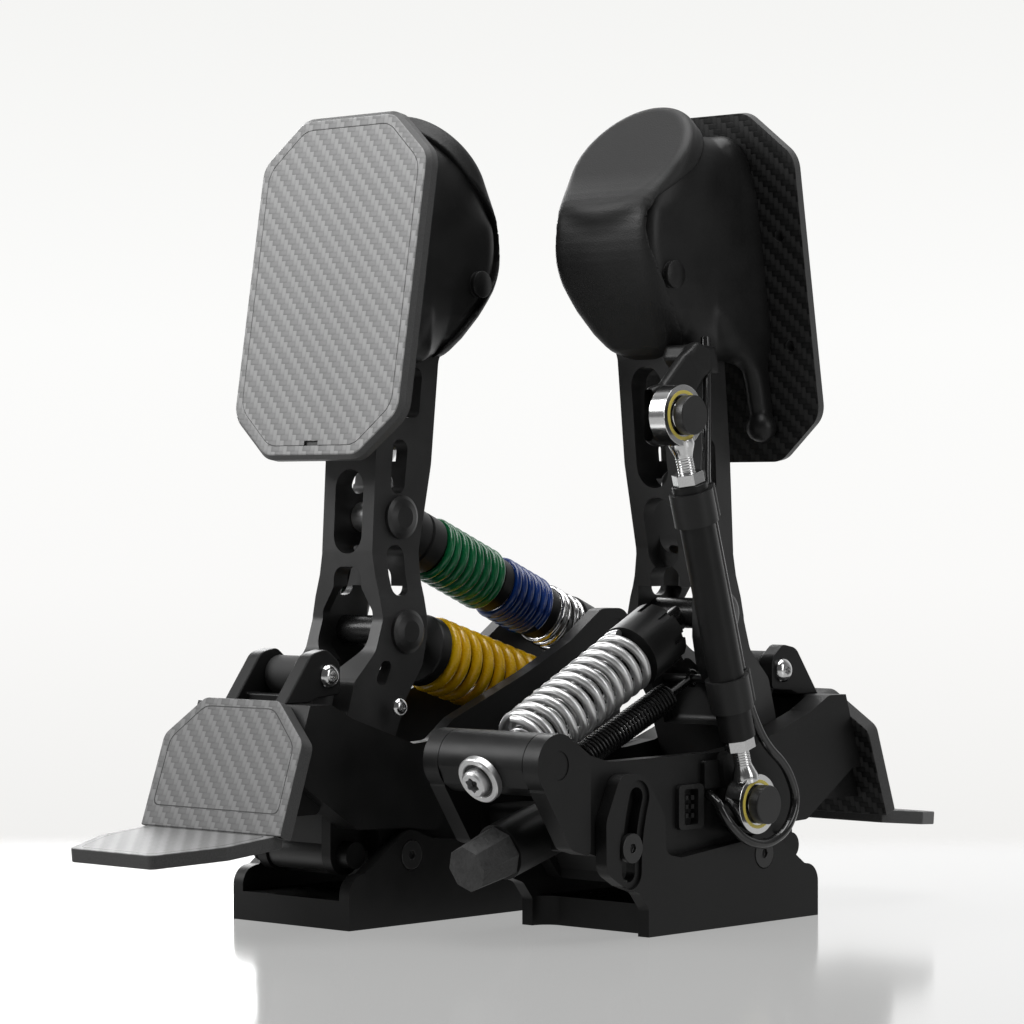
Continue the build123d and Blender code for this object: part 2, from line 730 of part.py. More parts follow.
def make_stop(pedal, name):
    """Bracket on the housing's nose, its axle, and the rubber stop that the arm rests on."""
    axle = at(axle_share)
    ear_inner = bracket_outer - bracket_ear
    floor_rows = [
        (row[0], min(row[1], bracket_seat_share + bracket_floor / layout_module), 0)
        for row in (bracket_shares[0], bracket_shares[-1])
    ]
    with BuildPart() as bracket:
        slabs(pedal, ear_inner, bracket_outer, bracket_shares)
        with BuildSketch(level(pedal, bracket_seat_share * layout_module)) as floor:
            start = floor_rows[0][0] * layout_module
            end = floor_rows[1][0] * layout_module
            with Locations((0, (start + end) / 2 + bracket_floor)):
                Rectangle(2 * bracket_outer, end - start - 2 * bracket_floor)
        extrude(floor.sketch, amount=bracket_floor)
        disc(pedal, -bracket_outer, bracket_outer, axle, axle_radius)
    save(bracket, f"{name}_stop_bracket")

    half = ear_inner - side_gap
    with BuildPart() as roller:
        disc(pedal, -half, half, axle, roller_radius)
        slab(pedal, -half, half, bumper_shares)
        disc(pedal, -half, half, axle, axle_radius + pin_fit, Mode.SUBTRACT)
    save(roller, f"{name}_stop_roller")


def make_heel_plate(pedal, name):
    """Upright plate and heel rest in one piece, bolted to the housing's shoulder."""
    heel = tilted(pedal, at(heel_foot_share), heel_angle())
    start = at(rest_start_share)
    end = at(rest_end_share)
    rest_slope = degrees(atan2(end[1] - start[1], end[0] - start[0]))
    rest = tilted(pedal, start, rest_slope)
    half = heel_width / 2
    top = heel_top_width / 2
    shoulder_half = half - side_gap
    with BuildPart() as plate:
        with BuildSketch(heel) as upright:
            with BuildLine():
                FilletPolyline(
                    (-half, -heel_drop), (half, -heel_drop), (shoulder_half, heel_shoulder),
                    (top, heel_height), (-top, heel_height), (-shoulder_half, heel_shoulder),
                    radius=[0, 0, heel_corner, heel_corner, heel_corner, heel_corner], close=True,
                )
            make_face()
        extrude(upright.sketch, amount=-heel_thickness)
        with BuildSketch(rest) as foot:
            with BuildLine():
                FilletPolyline(
                    (-rest_width / 2, 0), (rest_width / 2, 0), (rest_width / 2, rest_straight),
                    (rest_tip_width / 2, rest_length), (-rest_tip_width / 2, rest_length),
                    (-rest_width / 2, rest_straight),
                    radius=[0, 0, rest_corner, rest_corner, rest_corner, rest_corner], close=True,
                )
            make_face()
        extrude(foot.sketch, amount=rest_thickness)
    save(plate, f"{name}_heel_plate")


# Arm and pod
def make_arm(pedal, name):
    """Pedal arm: hub, fork and boxed neck that ends in the pod's pivot eye."""
    main_pivot = at(main_pivot_share)
    pod_pivot = at(pod_pivot_share)
    brake = name == "brake"
    low_pin = at(brake_low_pin_share if brake else throttle_pin_share)
    far = 2 * layout_module
    with BuildPart() as arm:
        slab(pedal, -arm_half, arm_half, arm_shares)
        disc(pedal, -arm_half, arm_half, main_pivot, hub_radius)
        disc(pedal, -arm_half, arm_half, pod_pivot, head_radius)
        outline = mirrored_face(rear(pedal, far), arm_front_shares, arm_half)
        extrude(outline, amount=2 * far, mode=Mode.INTERSECT)
        # fork opening, right through
        right = [(row[0] * fork_half_width, row[1] * layout_module) for row in fork_opening_shares]
        rounds = [row[2] * layout_module for row in fork_opening_shares]
        left = [(-x, z) for x, z in reversed(right)]
        with BuildSketch(rear(pedal, far)) as opening:
            with BuildLine():
                FilletPolyline(*right, *left, radius=rounds + rounds[::-1], close=True)
            make_face()
        extrude(opening.sketch, amount=2 * far, mode=Mode.SUBTRACT)
        slab(pedal, -fork_half_width, fork_half_width, rear_pocket_shares, Mode.SUBTRACT)
        # slots in the neck's front and rear
        cuts = (
            (upper_slot_share, slot_floor_share),
            (rear_low_slot_share, rear_slot_floor_share),
            (rear_high_slot_share, rear_slot_floor_share),
        )
        for heights, depths in cuts:
            low, high = at(heights)
            front_edge, rear_edge = at(depths)
            with BuildSketch(rear(pedal, rear_edge)) as slot:
                with Locations((0, (low + high) / 2)):
                    RectangleRounded(
                        2 * slot_half_width, high - low, slot_half_width - side_gap
                    )
            extrude(slot.sketch, amount=rear_edge - front_edge, mode=Mode.SUBTRACT)
        for rows in side_window_shares:
            slab(pedal, -arm_half, arm_half, rows, Mode.SUBTRACT)
        # bores
        disc(pedal, -arm_half, arm_half, main_pivot, shaft_radius + pin_fit, Mode.SUBTRACT)
        disc(pedal, -arm_half, arm_half, pod_pivot, pod_pin + pin_fit, Mode.SUBTRACT)
        disc(pedal, -arm_half, arm_half, low_pin, cross_pin + pin_fit, Mode.SUBTRACT)
        if brake:
            high_pin = at(brake_high_pin_share)
            disc(pedal, -arm_half, arm_half, high_pin, cross_pin + pin_fit, Mode.SUBTRACT)
        else:
            hook_pin = at(hook_pin_share)
            disc(pedal, -fork_half_width, fork_half_width, hook_pin, anchor_pin)
    save(arm, f"{name}_arm")


def make_pins(pedal, name):
    """Main shaft, the cross pins with domed caps and the pod's pivot pin."""
    main_pivot = at(main_pivot_share)
    pod_pivot = at(pod_pivot_share)
    reach = bay_half + shaft_overhang
    with BuildPart() as shaft:
        disc(pedal, -reach, reach, main_pivot, shaft_radius)
    save(shaft, f"{name}_arm_shaft")

    brake = name == "brake"
    pins = [(at(brake_low_pin_share if brake else throttle_pin_share), arm_half)]
    if brake:
        pins.append((at(brake_high_pin_share), neck_half_width))
    with BuildPart() as cross_pins:
        for place, half in pins:
            disc(pedal, -half, half, place, cross_pin)
            for way in (-1, 1):
                origin = pedal.from_local_coords((way * half, *place))
                axis = Plane(origin=origin, x_dir=pedal.x_dir * way, z_dir=pedal.z_dir)
                edge = pin_cap_depth / 2
                turned(axis, [
                    (0, 0), (pin_cap_depth, 0), (pin_cap_depth, pin_cap_radius / 2),
                    (pin_cap_depth - edge / 2, pin_cap_radius - edge), (edge, pin_cap_radius),
                    (0, pin_cap_radius),
                ])
    save(cross_pins, f"{name}_cross_pins")

    with BuildPart() as pivot:
        disc(pedal, -pod_wall(), pod_wall(), pod_pivot, pod_pin)
        discs(pedal, pod_wall(), pod_wall() + bolt_head_depth, pod_pivot, pod_pin_head)
    save(pivot, f"{name}_pod_pin")


def pod_wall():
    """Station of the pod's outer side at its pivot."""
    return pod_half_width * pod_front_shares[3][0] - bolt_head_depth


def pad_plane(pedal):
    """Front face of the pad plate, sketch y running up the plate."""
    return tilted(pedal, at(pad_centre_share), 90 - pad_tilt)


def pad_outline(plane, inset):
    """Pad outline with its four long chamfers, drawn in by an inset."""
    half = pad_width / 2 - inset
    high = pad_height / 2 - inset
    trim = inset * tan(radians(22.5))
    top = pad_top_flat / 2 - trim
    bottom = pad_bottom_flat / 2 - trim
    with BuildSketch(plane) as face:
        with BuildLine():
            FilletPolyline(
                (top, high), (half, high - pad_top_chamfer + trim),
                (half, -high + pad_bottom_chamfer - trim), (bottom, -high), (-bottom, -high),
                (-half, -high + pad_bottom_chamfer - trim), (-half, high - pad_top_chamfer + trim),
                (-top, high), radius=pad_corner, close=True,
            )
        make_face()
    return face.sketch


def make_pad(pedal, name):
    """Pad plate with a shallow pocket, and the inlay that lies in it."""
    plane = pad_plane(pedal)
    with BuildPart() as plate:
        extrude(pad_outline(plane, 0), amount=-pad_thickness)
        front = plate.faces().sort_by(Axis(plane.origin, plane.z_dir))[-1]
        chamfer(front.edges(), length=pad_bevel)
        pocket = pad_outline(plane, inlay_inset)
        extrude(pocket, amount=-inlay_thickness, mode=Mode.SUBTRACT)
        with BuildSketch(plane.offset(cut_overrun)) as holes:
            for share in pad_hole_share:
                with Locations((0, share * pad_height)):
                    with GridLocations(pad_hole_across, pad_height, 2, 1):
                        Circle(pad_hole)
        extrude(holes.sketch, amount=-pad_thickness - 2 * cut_overrun, mode=Mode.SUBTRACT)
    save(plate, f"{name}_pad_plate")

    with BuildPart() as inlay:
        extrude(pad_outline(plane, inlay_inset + inlay_gap), amount=-inlay_thickness)
        with BuildSketch(plane) as notch:
            with Locations((0, -pad_height / 2 + inlay_inset)):
                Rectangle(pad_notch_width, 2 * pad_notch_depth)
        extrude(notch.sketch, amount=-inlay_thickness, mode=Mode.SUBTRACT)
    save(inlay, f"{name}_pad_inlay")


def cap_plane(pedal):
    """Inner face of the pod cap's disc, facing up and rearward."""
    face = tilted(pedal, at(cap_face_share), 180 - cap_tilt)
    return Plane(origin=face.origin + face.z_dir * cap_depth, x_dir=face.x_dir, z_dir=-face.z_dir)


def make_pod(pedal, name):
    """Pod shell behind the pad, with its ribs and the lug for the tie rod, and its cap."""
    far = 2 * layout_module
    plate_back = pad_plane(pedal).offset(-pad_thickness)
    disc_plane = cap_plane(pedal)
    with BuildPart() as shell:
        slab(pedal, -pod_half_width, pod_half_width, pod_shares)
        outline = mirrored_face(rear(pedal, far), pod_front_shares, pod_half_width)
        extrude(outline, amount=2 * far, mode=Mode.INTERSECT)
        outline = mirrored_face(level(pedal, 0), pod_plan_shares, pod_half_width)
        extrude(outline, amount=2 * far, mode=Mode.INTERSECT)
        slabs(pedal, rib_inner, rib_inner + rib_width, rib_shares)
        slab(pedal, -lug_inner - lug_thickness, -rib_inner, lug_block_shares)
        slab(pedal, -lug_inner - lug_thickness, -lug_inner, lug_shares)
        disc(pedal, -lug_inner - lug_thickness, -lug_inner, at(rod_high_share), lug_radius)
        slab(pedal, -neck_half_width - channel_gap, neck_half_width + channel_gap, channel_shares, Mode.SUBTRACT)
        with BuildSketch(plate_back) as front_cut:
            Rectangle(2 * pad_height, 2 * pad_height)
        extrude(front_cut.sketch, amount=pad_height, mode=Mode.SUBTRACT)
        with BuildSketch(disc_plane) as rear_cut:
            Rectangle(2 * pad_height, 2 * pad_height)
        extrude(rear_cut.sketch, amount=pad_height, mode=Mode.SUBTRACT)
        disc(
            pedal, -lug_inner - lug_thickness - cut_overrun, -lug_inner + cut_overrun,
            at(rod_high_share), ball_neck + pin_fit, Mode.SUBTRACT,
        )
        disc(pedal, -far, far, at(pod_pivot_share), pod_pin + pin_fit, Mode.SUBTRACT)
        discs(pedal, pod_wall(), far, at(pod_pivot_share), pod_pin_head + pin_fit, Mode.SUBTRACT)
    save(shell, f"{name}_pod_shell")

    with BuildPart() as cap:
        slab(pedal, -cap_radius, cap_radius, lobe_shares)
        outline = mirrored_face(rear(pedal, far), lobe_front_shares, cap_radius)
        extrude(outline, amount=2 * far, mode=Mode.INTERSECT)
        round_half = Plane(origin=disc_plane.origin, x_dir=disc_plane.z_dir, z_dir=disc_plane.x_dir)
        with BuildSketch(round_half) as half:
            with BuildLine():
                FilletPolyline(
                    (0, 0), (cap_depth, 0), (cap_depth, cap_radius), (0, cap_radius),
                    radius=[0, 0, cap_edge, 0], close=True,
                )
            make_face()
        revolve(half.sketch, axis=Axis(round_half.origin, round_half.x_dir))
    save(cap, f"{name}_pod_cap")


# Tie rod
def make_tie_rod(pedal, name):
    """Tube, its two ball joints, the bolts through them, the clips and the sensor cable."""
    low = at(rod_low_share)
    high = at(rod_high_share)
    length = span(low, high)
    axis = along(pedal, low, high, -rod_plane)
    back = along(pedal, high, low, -rod_plane)
    with BuildPart() as tube:
        rod(axis, tube_start, length - tube_start, tube_radius)
        for plane in (axis, back):
            rod(plane, tube_start, tube_start + thread_in_tube + side_gap, rod_thread + pin_fit, Mode.SUBTRACT)
    save(tube, f"{name}_tie_rod")

    ends = ((axis, low, pin_fit), (back, high, open_ball_gap))
    root_start = (ring_radius + ball_radius) / 2
    with BuildPart() as rod_ends:
        for plane, place, gap in ends:
            disc(pedal, -rod_plane - ring_width / 2, -rod_plane + ring_width / 2, place, ring_radius)
            turned(plane, [
                (root_start, 0), (tube_start + thread_in_tube, 0),
                (tube_start + thread_in_tube, rod_thread), (ring_radius + ring_root, rod_thread),
                (ring_radius, ring_root), (root_start, ring_root),
            ])
            ball(pedal, plane, ball_radius + gap, Mode.SUBTRACT)
        for plane, place, gap in ends:
            nut_plane = Plane(origin=plane.origin + plane.x_dir * nut_start, z_dir=plane.x_dir)
            with BuildSketch(nut_plane) as nut:
                RegularPolygon(nut_across_flats / 2, 6, major_radius=False)
                Circle(rod_thread + pin_fit, mode=Mode.SUBTRACT)
            extrude(nut.sketch, amount=nut_height)
    save(rod_ends, f"{name}_rod_ends")

    bolts = (
        ("lower_ball_bolt", low, cheek_half, bay_half + side_gap),
        ("upper_ball_bolt", high, lug_inner + lug_thickness, lug_inner - side_gap),
    )
    for label, place, seat, inner in bolts:
        origin = pedal.from_local_coords((-rod_plane, *place))
        cross = Plane(origin=origin, x_dir=-pedal.x_dir, z_dir=pedal.z_dir)
        stem = rod_plane - inner
        with BuildPart() as bolt:
            turned(cross, [
                (-stem, 0), (ball_bolt_head_start + ball_bolt_head_height, 0),
                (ball_bolt_head_start + ball_bolt_head_height, ball_bolt_head - side_gap),
                (ball_bolt_head_start + ball_bolt_head_height - side_gap, ball_bolt_head),
                (ball_bolt_head_start, ball_bolt_head), (ball_bolt_head_start, ball_neck),
                (-stem, ball_neck),
            ])
            rod(cross, -rod_plane + seat, -ring_width / 2 - side_gap, ball_collar)
            ball(pedal, cross, ball_radius)
        save(bolt, f"{name}_{label}")

    # clips round the tube and the cable beside it
    with BuildPart() as clips:
        for station in (upper_clip_station, lower_clip_station):
            start = station - clip_length / 2
            section = Plane(
                origin=axis.origin + axis.x_dir * start, x_dir=axis.y_dir, z_dir=axis.x_dir
            )
            with BuildSketch(section) as clip:
                Circle(tube_radius + clip_wall)
                with Locations((cable_beside_rod, 0)):
                    Circle(cable_radius + clip_wall)
                with Locations((cable_beside_rod, 0)):
                    Circle(cable_radius + side_gap, mode=Mode.SUBTRACT)
                Circle(tube_radius + pin_fit, mode=Mode.SUBTRACT)
            extrude(clip.sketch, amount=clip_length)
    save(clips, f"{name}_cable_clips")

    beside = []
    for station in (upper_clip_station + clip_length / 2, lower_clip_station - clip_length / 2):
        point = axis.origin + axis.x_dir * station + axis.y_dir * cable_beside_rod
        beside.append(point)
    route = [Vector(pedal.from_local_coords(point)) for point in cable_route]
    route += beside
    route += [Vector(pedal.from_local_coords(point)) for point in cable_loop]
    radii = []
    for before, corner, after in zip(route, route[1:], route[2:]):
        turn = radians((corner - before).get_angle(after - corner))
        run = min((corner - before).length, (after - corner).length)
        radii.append(9 / 20 * run / tan(turn / 2))
    with BuildPart() as cable:
        with BuildLine() as path:
            FilletPolyline(*route, radius=radii)
        with BuildSketch(Plane(origin=route[0], z_dir=route[1] - route[0])):
            Circle(cable_radius)
        sweep()
    length = path.wire().length
    print(f"{name} cable: length {length:.0f} mm, radii " + ", ".join(f"{r:.0f}" for r in radii))
    print(f"{name} cable: volume over section times length {cable.part.volume / (pi * cable_radius ** 2 * length):.4f}")
    save(cable, f"{name}_cable")


# Spring units
def make_plunger(pedal, name, label, pin, seat, eye_half, stop):
    """Rod with an eye on the arm's pin, sliding through the rear seat, with its end washer."""
    axis = along(pedal, pin, seat)
    with BuildPart() as plunger:
        disc(pedal, -eye_half, eye_half, pin, eye_radius)
        rod(axis, eye_radius / 2, stop + seat_gap + washer_thickness, rod_radius)
        rod(axis, stop + seat_gap, stop + seat_gap + washer_thickness, washer_radius)
        rod(axis, stop + seat_gap, stop + seat_gap + washer_thickness + screw_head, screw_radius)
        disc(pedal, -eye_half, eye_half, pin, cross_pin + open_pivot_gap, Mode.SUBTRACT)
    save(plunger, f"{name}_{label}")


def make_barrel(pedal, name, label, pin, seat, half, reach):
    """Cross barrel that turns in the housing, bored for the plunger, flat at both faces."""
    axis = along(pedal, pin, seat)
    length = span(pin, seat)
    with BuildPart() as barrel:
        disc(pedal, -half, half, seat, barrel_radius)
        disc(pedal, -reach, reach, seat, stub_radius)
        rod(axis, length + barrel_flat, length + 2 * barrel_radius, 2 * half, Mode.SUBTRACT)
        rod(axis, length - 2 * barrel_radius, length - barrel_flat, 2 * half, Mode.SUBTRACT)
        rod(axis, length - 2 * barrel_radius, length + 2 * barrel_radius, rod_radius + slide_fit, Mode.SUBTRACT)
    save(barrel, f"{name}_{label}")


def notched_collar(axis, start, length, radius, bore):
    """Adjusting collar with a ring of spanner notches at its front end."""
    rod(axis, start, start + length, radius)
    rod(axis, start, start + length, bore, Mode.SUBTRACT)
    with BuildSketch(Plane(origin=axis.origin + axis.x_dir * start, z_dir=axis.x_dir)) as notches:
        with PolarLocations(radius, collar_notch_count):
            Rectangle(collar_notch, collar_notch)
    extrude(notches.sketch, amount=length / 3, mode=Mode.SUBTRACT)


def make_lower_unit(pedal, name):
    """Main spring unit of either pedal."""
    brake = name == "brake"
    pin = at(brake_low_pin_share if brake else throttle_pin_share)
    seat = at(brake_low_seat_share if brake else throttle_seat_share)
    axis = along(pedal, pin, seat)
    length = span(pin, seat)
    half = bay_half - side_gap if brake else bay_half + ear_inset - side_gap
    reach = housing_half - side_gap if brake else housing_half + ear_depth - side_gap
    eye_half = fork_half_width - side_gap
    make_plunger(pedal, name, "plunger", pin, seat, eye_half, length + barrel_flat)
    make_barrel(pedal, name, "trunnion", pin, seat, half, reach)
    start = brake_collar_start if brake else throttle_collar_start
    run = brake_collar_length if brake else throttle_collar_length
    radius = brake_collar_radius if brake else throttle_collar_radius
    with BuildPart() as collar:
        notched_collar(axis, start, run, radius, rod_radius + pin_fit)
    save(collar, f"{name}_collar")
    first = start + run + seat_gap
    last = length - barrel_flat - seat_gap
    with BuildPart() as spring:
        if brake:
            coil(axis, first, last, brake_coil_radius, brake_wire, brake_turns, "brake yellow spring")
        else:
            coil(axis, first, last, throttle_coil_radius, throttle_wire, throttle_turns, "throttle spring")
            coil(axis, first, last, inner_coil_radius, inner_wire, inner_turns, "inner spring")
    save(spring, f"{name}_spring")


def make_upper_unit(pedal, name):
    """Brake's stack of three springs between spacers, on the upper rod."""
    pin = at(brake_high_pin_share)
    seat = at(brake_high_seat_share)
    axis = along(pedal, pin, seat)
    length = span(pin, seat)
    collar_end = upper_collar_start + upper_collar_length
    green_end = collar_end + green_length
    blue_start = green_end + spacer_length
    blue_end = blue_start + blue_length
    chrome_start = blue_end + spacer_length
    chrome_end = chrome_start + chrome_length
    cap_end = chrome_end + end_cap_length
    reach = housing_half - side_gap
    make_plunger(
        pedal, name, "upper_plunger", pin, seat, slot_half_width - side_gap, cap_end
    )
    with BuildPart() as seat_cap:
        rod(axis, chrome_end, cap_end, end_cap_radius)
        disc(pedal, -reach, reach, seat, stub_radius - side_gap)
        rod(axis, chrome_end - cut_overrun, chrome_end, 2 * end_cap_radius, Mode.SUBTRACT)
        rod(axis, cap_end, cap_end + cut_overrun, 2 * end_cap_radius, Mode.SUBTRACT)
        disc(pedal, end_cap_radius, reach, seat, stub_radius)
        disc(pedal, -reach, -end_cap_radius, seat, stub_radius)
        rod(axis, chrome_end - cut_overrun, cap_end + cut_overrun, rod_radius + slide_fit, Mode.SUBTRACT)
    save(seat_cap, f"{name}_upper_trunnion")

    with BuildPart() as collars:
        half_run = upper_collar_length / 2
        for start in (upper_collar_start, upper_collar_start + half_run + seat_gap):
            notched_collar(axis, start, half_run - seat_gap, upper_collar_radius, rod_radius + pin_fit)
    save(collars, f"{name}_upper_collars")

    for label, start in (("front_spacer", green_end), ("rear_spacer", blue_end)):
        with BuildPart() as spacer:
            rod(axis, start, start + spacer_length, spacer_radius)
            rod(axis, start, start + spacer_length, rod_radius + slide_fit, Mode.SUBTRACT)
        save(spacer, f"{name}_{label}")

    springs = (
        ("green_spring", collar_end, green_end, stack_coil_radius, green_wire, stack_turns),
        ("blue_spring", blue_start, blue_end, stack_coil_radius, blue_wire, stack_turns),
        ("chrome_spring", chrome_start, chrome_end, chrome_coil_radius, chrome_wire, chrome_turns),
    )
    for label, start, end, radius, wire, turns in springs:
        with BuildPart() as spring:
            coil(axis, start + seat_gap, end - seat_gap, radius, wire, turns, f"{name} {label}")
        save(spring, f"{name}_{label}")


def make_throttle_extras(pedal, name):
    """Draw spring between the arm and the housing, and the faceted rear stop."""
    hook = at(hook_pin_share)
    anchor = at(anchor_share)
    axis = along(pedal, hook, anchor)
    back = along(pedal, anchor, hook)
    length = span(hook, anchor)
    pitch = draw_wire + draw_gap
    first = draw_lead
    last = first + draw_turns * pitch + draw_wire
    inner = draw_coil_radius - draw_wire
    with BuildPart() as draw:
        coil(axis, first, last, draw_coil_radius, draw_wire, draw_turns, "throttle return spring")
        for plane, place, lead in ((axis, hook, first), (back, anchor, length - last)):
            disc(pedal, -hook_half_width, hook_half_width, place, hook_eye)
            rod(plane, hook_eye / 2, lead + draw_plug, draw_bar)
            rod(plane, lead, lead + draw_plug, inner - pin_fit)
        for place in (hook, anchor):
            disc(pedal, -cut_overrun, cut_overrun, place, anchor_pin + side_gap, Mode.SUBTRACT)
    save(draw, f"{name}_return_spring")

    gland = gland_plane(pedal)
    face = Plane(origin=gland.origin + gland.x_dir * (gland_length + seat_gap), z_dir=gland.x_dir)
    with BuildPart() as knob:
        with BuildSketch(face):
            RegularPolygon(knob_radius, 8)
        extrude(amount=knob_length, taper=4)
        rod(gland, gland_length - screw_boss, gland_length + knob_length / 2, knob_bore)
    save(knob, f"{name}_stop_knob")


for frame, pedal_name in ((brake_frame, "brake"), (throttle_frame, "throttle")):
    make_base(frame, pedal_name)
    make_tilt_bolts(frame, pedal_name)
    make_housing(frame, pedal_name)
    make_socket(frame, pedal_name)
    make_stop(frame, pedal_name)
    make_heel_plate(frame, pedal_name)
    make_arm(frame, pedal_name)
    make_pins(frame, pedal_name)
    make_pad(frame, pedal_name)
    make_pod(frame, pedal_name)
    make_tie_rod(frame, pedal_name)
    make_lower_unit(frame, pedal_name)
make_upper_unit(brake_frame, "brake")
make_throttle_extras(throttle_frame, "throttle")
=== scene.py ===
import json
import math

import bmesh
import bpy
import numpy as np
from mathutils import Matrix, Vector


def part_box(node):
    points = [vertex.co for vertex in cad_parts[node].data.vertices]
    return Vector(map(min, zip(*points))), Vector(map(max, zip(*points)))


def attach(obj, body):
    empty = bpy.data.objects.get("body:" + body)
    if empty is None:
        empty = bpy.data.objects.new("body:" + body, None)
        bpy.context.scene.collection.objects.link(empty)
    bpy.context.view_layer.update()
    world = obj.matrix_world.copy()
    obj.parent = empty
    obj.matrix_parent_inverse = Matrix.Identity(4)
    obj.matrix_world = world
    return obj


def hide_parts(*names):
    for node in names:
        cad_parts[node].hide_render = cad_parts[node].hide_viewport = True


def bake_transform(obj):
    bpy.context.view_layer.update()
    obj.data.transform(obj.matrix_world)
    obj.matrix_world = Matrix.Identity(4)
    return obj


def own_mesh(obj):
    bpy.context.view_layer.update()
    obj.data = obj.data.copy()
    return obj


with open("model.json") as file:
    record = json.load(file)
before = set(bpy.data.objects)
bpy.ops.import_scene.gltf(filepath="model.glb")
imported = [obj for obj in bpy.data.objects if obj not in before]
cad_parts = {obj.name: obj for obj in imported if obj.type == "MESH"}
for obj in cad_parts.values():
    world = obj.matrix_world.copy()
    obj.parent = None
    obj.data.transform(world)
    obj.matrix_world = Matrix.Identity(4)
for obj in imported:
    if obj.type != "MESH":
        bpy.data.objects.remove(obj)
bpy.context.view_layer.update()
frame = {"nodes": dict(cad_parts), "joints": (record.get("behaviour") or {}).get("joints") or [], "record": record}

# Looks for a brake and a throttle pedal that stand back to back.
# Lengths are in millimetres in each pedal's own frame, x across, y rearward, z up.
# The stage, the lights and the camera are in metres.
MM = 0.001
SEGMENTS = 48


class Pedal:
    """One pedal's own frame, read from its base."""

    def __init__(self, name, turn):
        low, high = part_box(f"{name}_base")
        front = low.y if turn > 0 else high.y
        self.name = name
        self.turn = turn
        spin = Matrix.Diagonal((turn, turn, 1, 1))
        middle = Matrix.Translation(((low.x + high.x) / 2, front, 0))
        self.place = middle @ spin @ Matrix.Scale(MM, 4)
        self.front = -front * turn / MM

    def row(self, point):
        """A point of the pedal's frame in the row frame, in metres."""
        return self.place @ Vector(point)

    def heading(self, way):
        """A direction of the pedal's frame in the row frame."""
        return Vector((way[0] * self.turn, way[1] * self.turn, way[2])).normalized()


BRAKE = Pedal("brake", 1)
THROTTLE = Pedal("throttle", -1)
PEDALS = (BRAKE, THROTTLE)

# Places in the side view, (y, z), as the solids have them
STOP_AXLE = (3.5, 90.3)
ROD_LOW = (45.5, 44.2)
ROD_HIGH = (87.5, 183.3)
BRAKE_PIN = (41.5, 105.5)
BRAKE_SEAT = (145.0, 74.0)
UPPER_PIN = (43.5, 147.4)
UPPER_SEAT = (152.0, 103.0)
THROTTLE_PIN = (41.5, 112.2)
THROTTLE_SEAT = (141.0, 62.4)
HOOK_PIN = (37.0, 88.0)
ANCHOR = (104.0, 59.4)
POD_PIVOT = (75.5, 234.0)
SIDE_SCREW = (31.0, 78.3)
ROD_PLANE = -34.5
PAD_CENTRE = (19.6, 232.1)
PAD_TILT = 9.24
PAD_THICKNESS = 5.2
HEEL_FOOT = (-39.0, 39.7)
HEEL_HEAD = (-24.7, 81.0)
HEEL_TOE = (-86.0, 32.5)
HEEL_BEND = (-36.0, 37.0)
HEEL_THICKNESS = 6.0


# Node patterns

class Signal:
    """A number in a material, so that a pattern can be written as a sum."""

    def __init__(self, tree, socket):
        self.tree = tree
        self.socket = socket

    def work(self, kind, *others):
        node = self.tree.nodes.new("ShaderNodeMath")
        node.operation = kind
        for place, value in enumerate((self, *others)):
            if isinstance(value, Signal):
                self.tree.links.new(value.socket, node.inputs[place])
            else:
                node.inputs[place].default_value = value
        return Signal(self.tree, node.outputs[0])

    def __add__(self, other):
        return self.work("ADD", other)

    def __sub__(self, other):
        return self.work("SUBTRACT", other)

    def __mul__(self, other):
        return self.work("MULTIPLY", other)

    def below(self, other):
        return self.work("LESS_THAN", other)

    def above(self, other):
        return self.work("GREATER_THAN", other)

    def floor(self):
        return self.work("FLOOR")

    def fract(self):
        return self.work("FRACT")

    def wrap(self, size):
        return self.work("FLOORED_MODULO", size)

    def inverse(self):
        return self.work("MULTIPLY", -1.0) + 1.0

    def hump(self):
        """0 at 0 and 1, and 1 at the middle."""
        return (self * 4.0) * self.inverse()

    def blend(self, low, high):
        """low where this is 0, high where it is 1; both are signals."""
        return self.inverse() * low + self * high


def new_material(name):
    material = bpy.data.materials.new(name)
    material.use_nodes = True
    tree = material.node_tree
    shader = tree.nodes["Principled BSDF"]
    return material, tree, shader


def position(tree):
    """Place on the object in its own frame, in metres."""
    node = tree.nodes.new("ShaderNodeTexCoord")
    return node.outputs["Object"]


def noise(tree, size_mm, detail, stretch=(1, 1, 1)):
    """Cloudy pattern with lumps of a given size, drawn out by a factor along each axis."""
    scale = tree.nodes.new("ShaderNodeMapping")
    scale.inputs["Scale"].default_value = [1 / (size_mm * MM * s) for s in stretch]
    tree.links.new(position(tree), scale.inputs["Vector"])
    node = tree.nodes.new("ShaderNodeTexNoise")
    node.inputs["Scale"].default_value = 1.0
    node.inputs["Detail"].default_value = detail
    tree.links.new(scale.outputs[0], node.inputs["Vector"])
    return Signal(tree, node.outputs["Fac"])


def ramp(tree, value, stops):
    """Colour ramp over a number: stops are (place, grey or colour)."""
    node = tree.nodes.new("ShaderNodeValToRGB")
    points = node.color_ramp.elements
    while len(points) < len(stops):
        points.new(0.5)
    for point, (place, colour) in zip(points, stops):
        point.position = place
        point.color = (*colour, 1.0) if isinstance(colour, tuple) else (colour, colour, colour, 1.0)
    tree.links.new(value.socket, node.inputs[0])
    return node.outputs[0]


def relief(tree, shader, height, depth_mm):
    """Raise the surface by a height signal."""
    node = tree.nodes.new("ShaderNodeBump")
    node.inputs["Strength"].default_value = 1.0
    node.inputs["Distance"].default_value = depth_mm * MM
    tree.links.new(height.socket, node.inputs["Height"])
    tree.links.new(node.outputs[0], shader.inputs["Normal"])


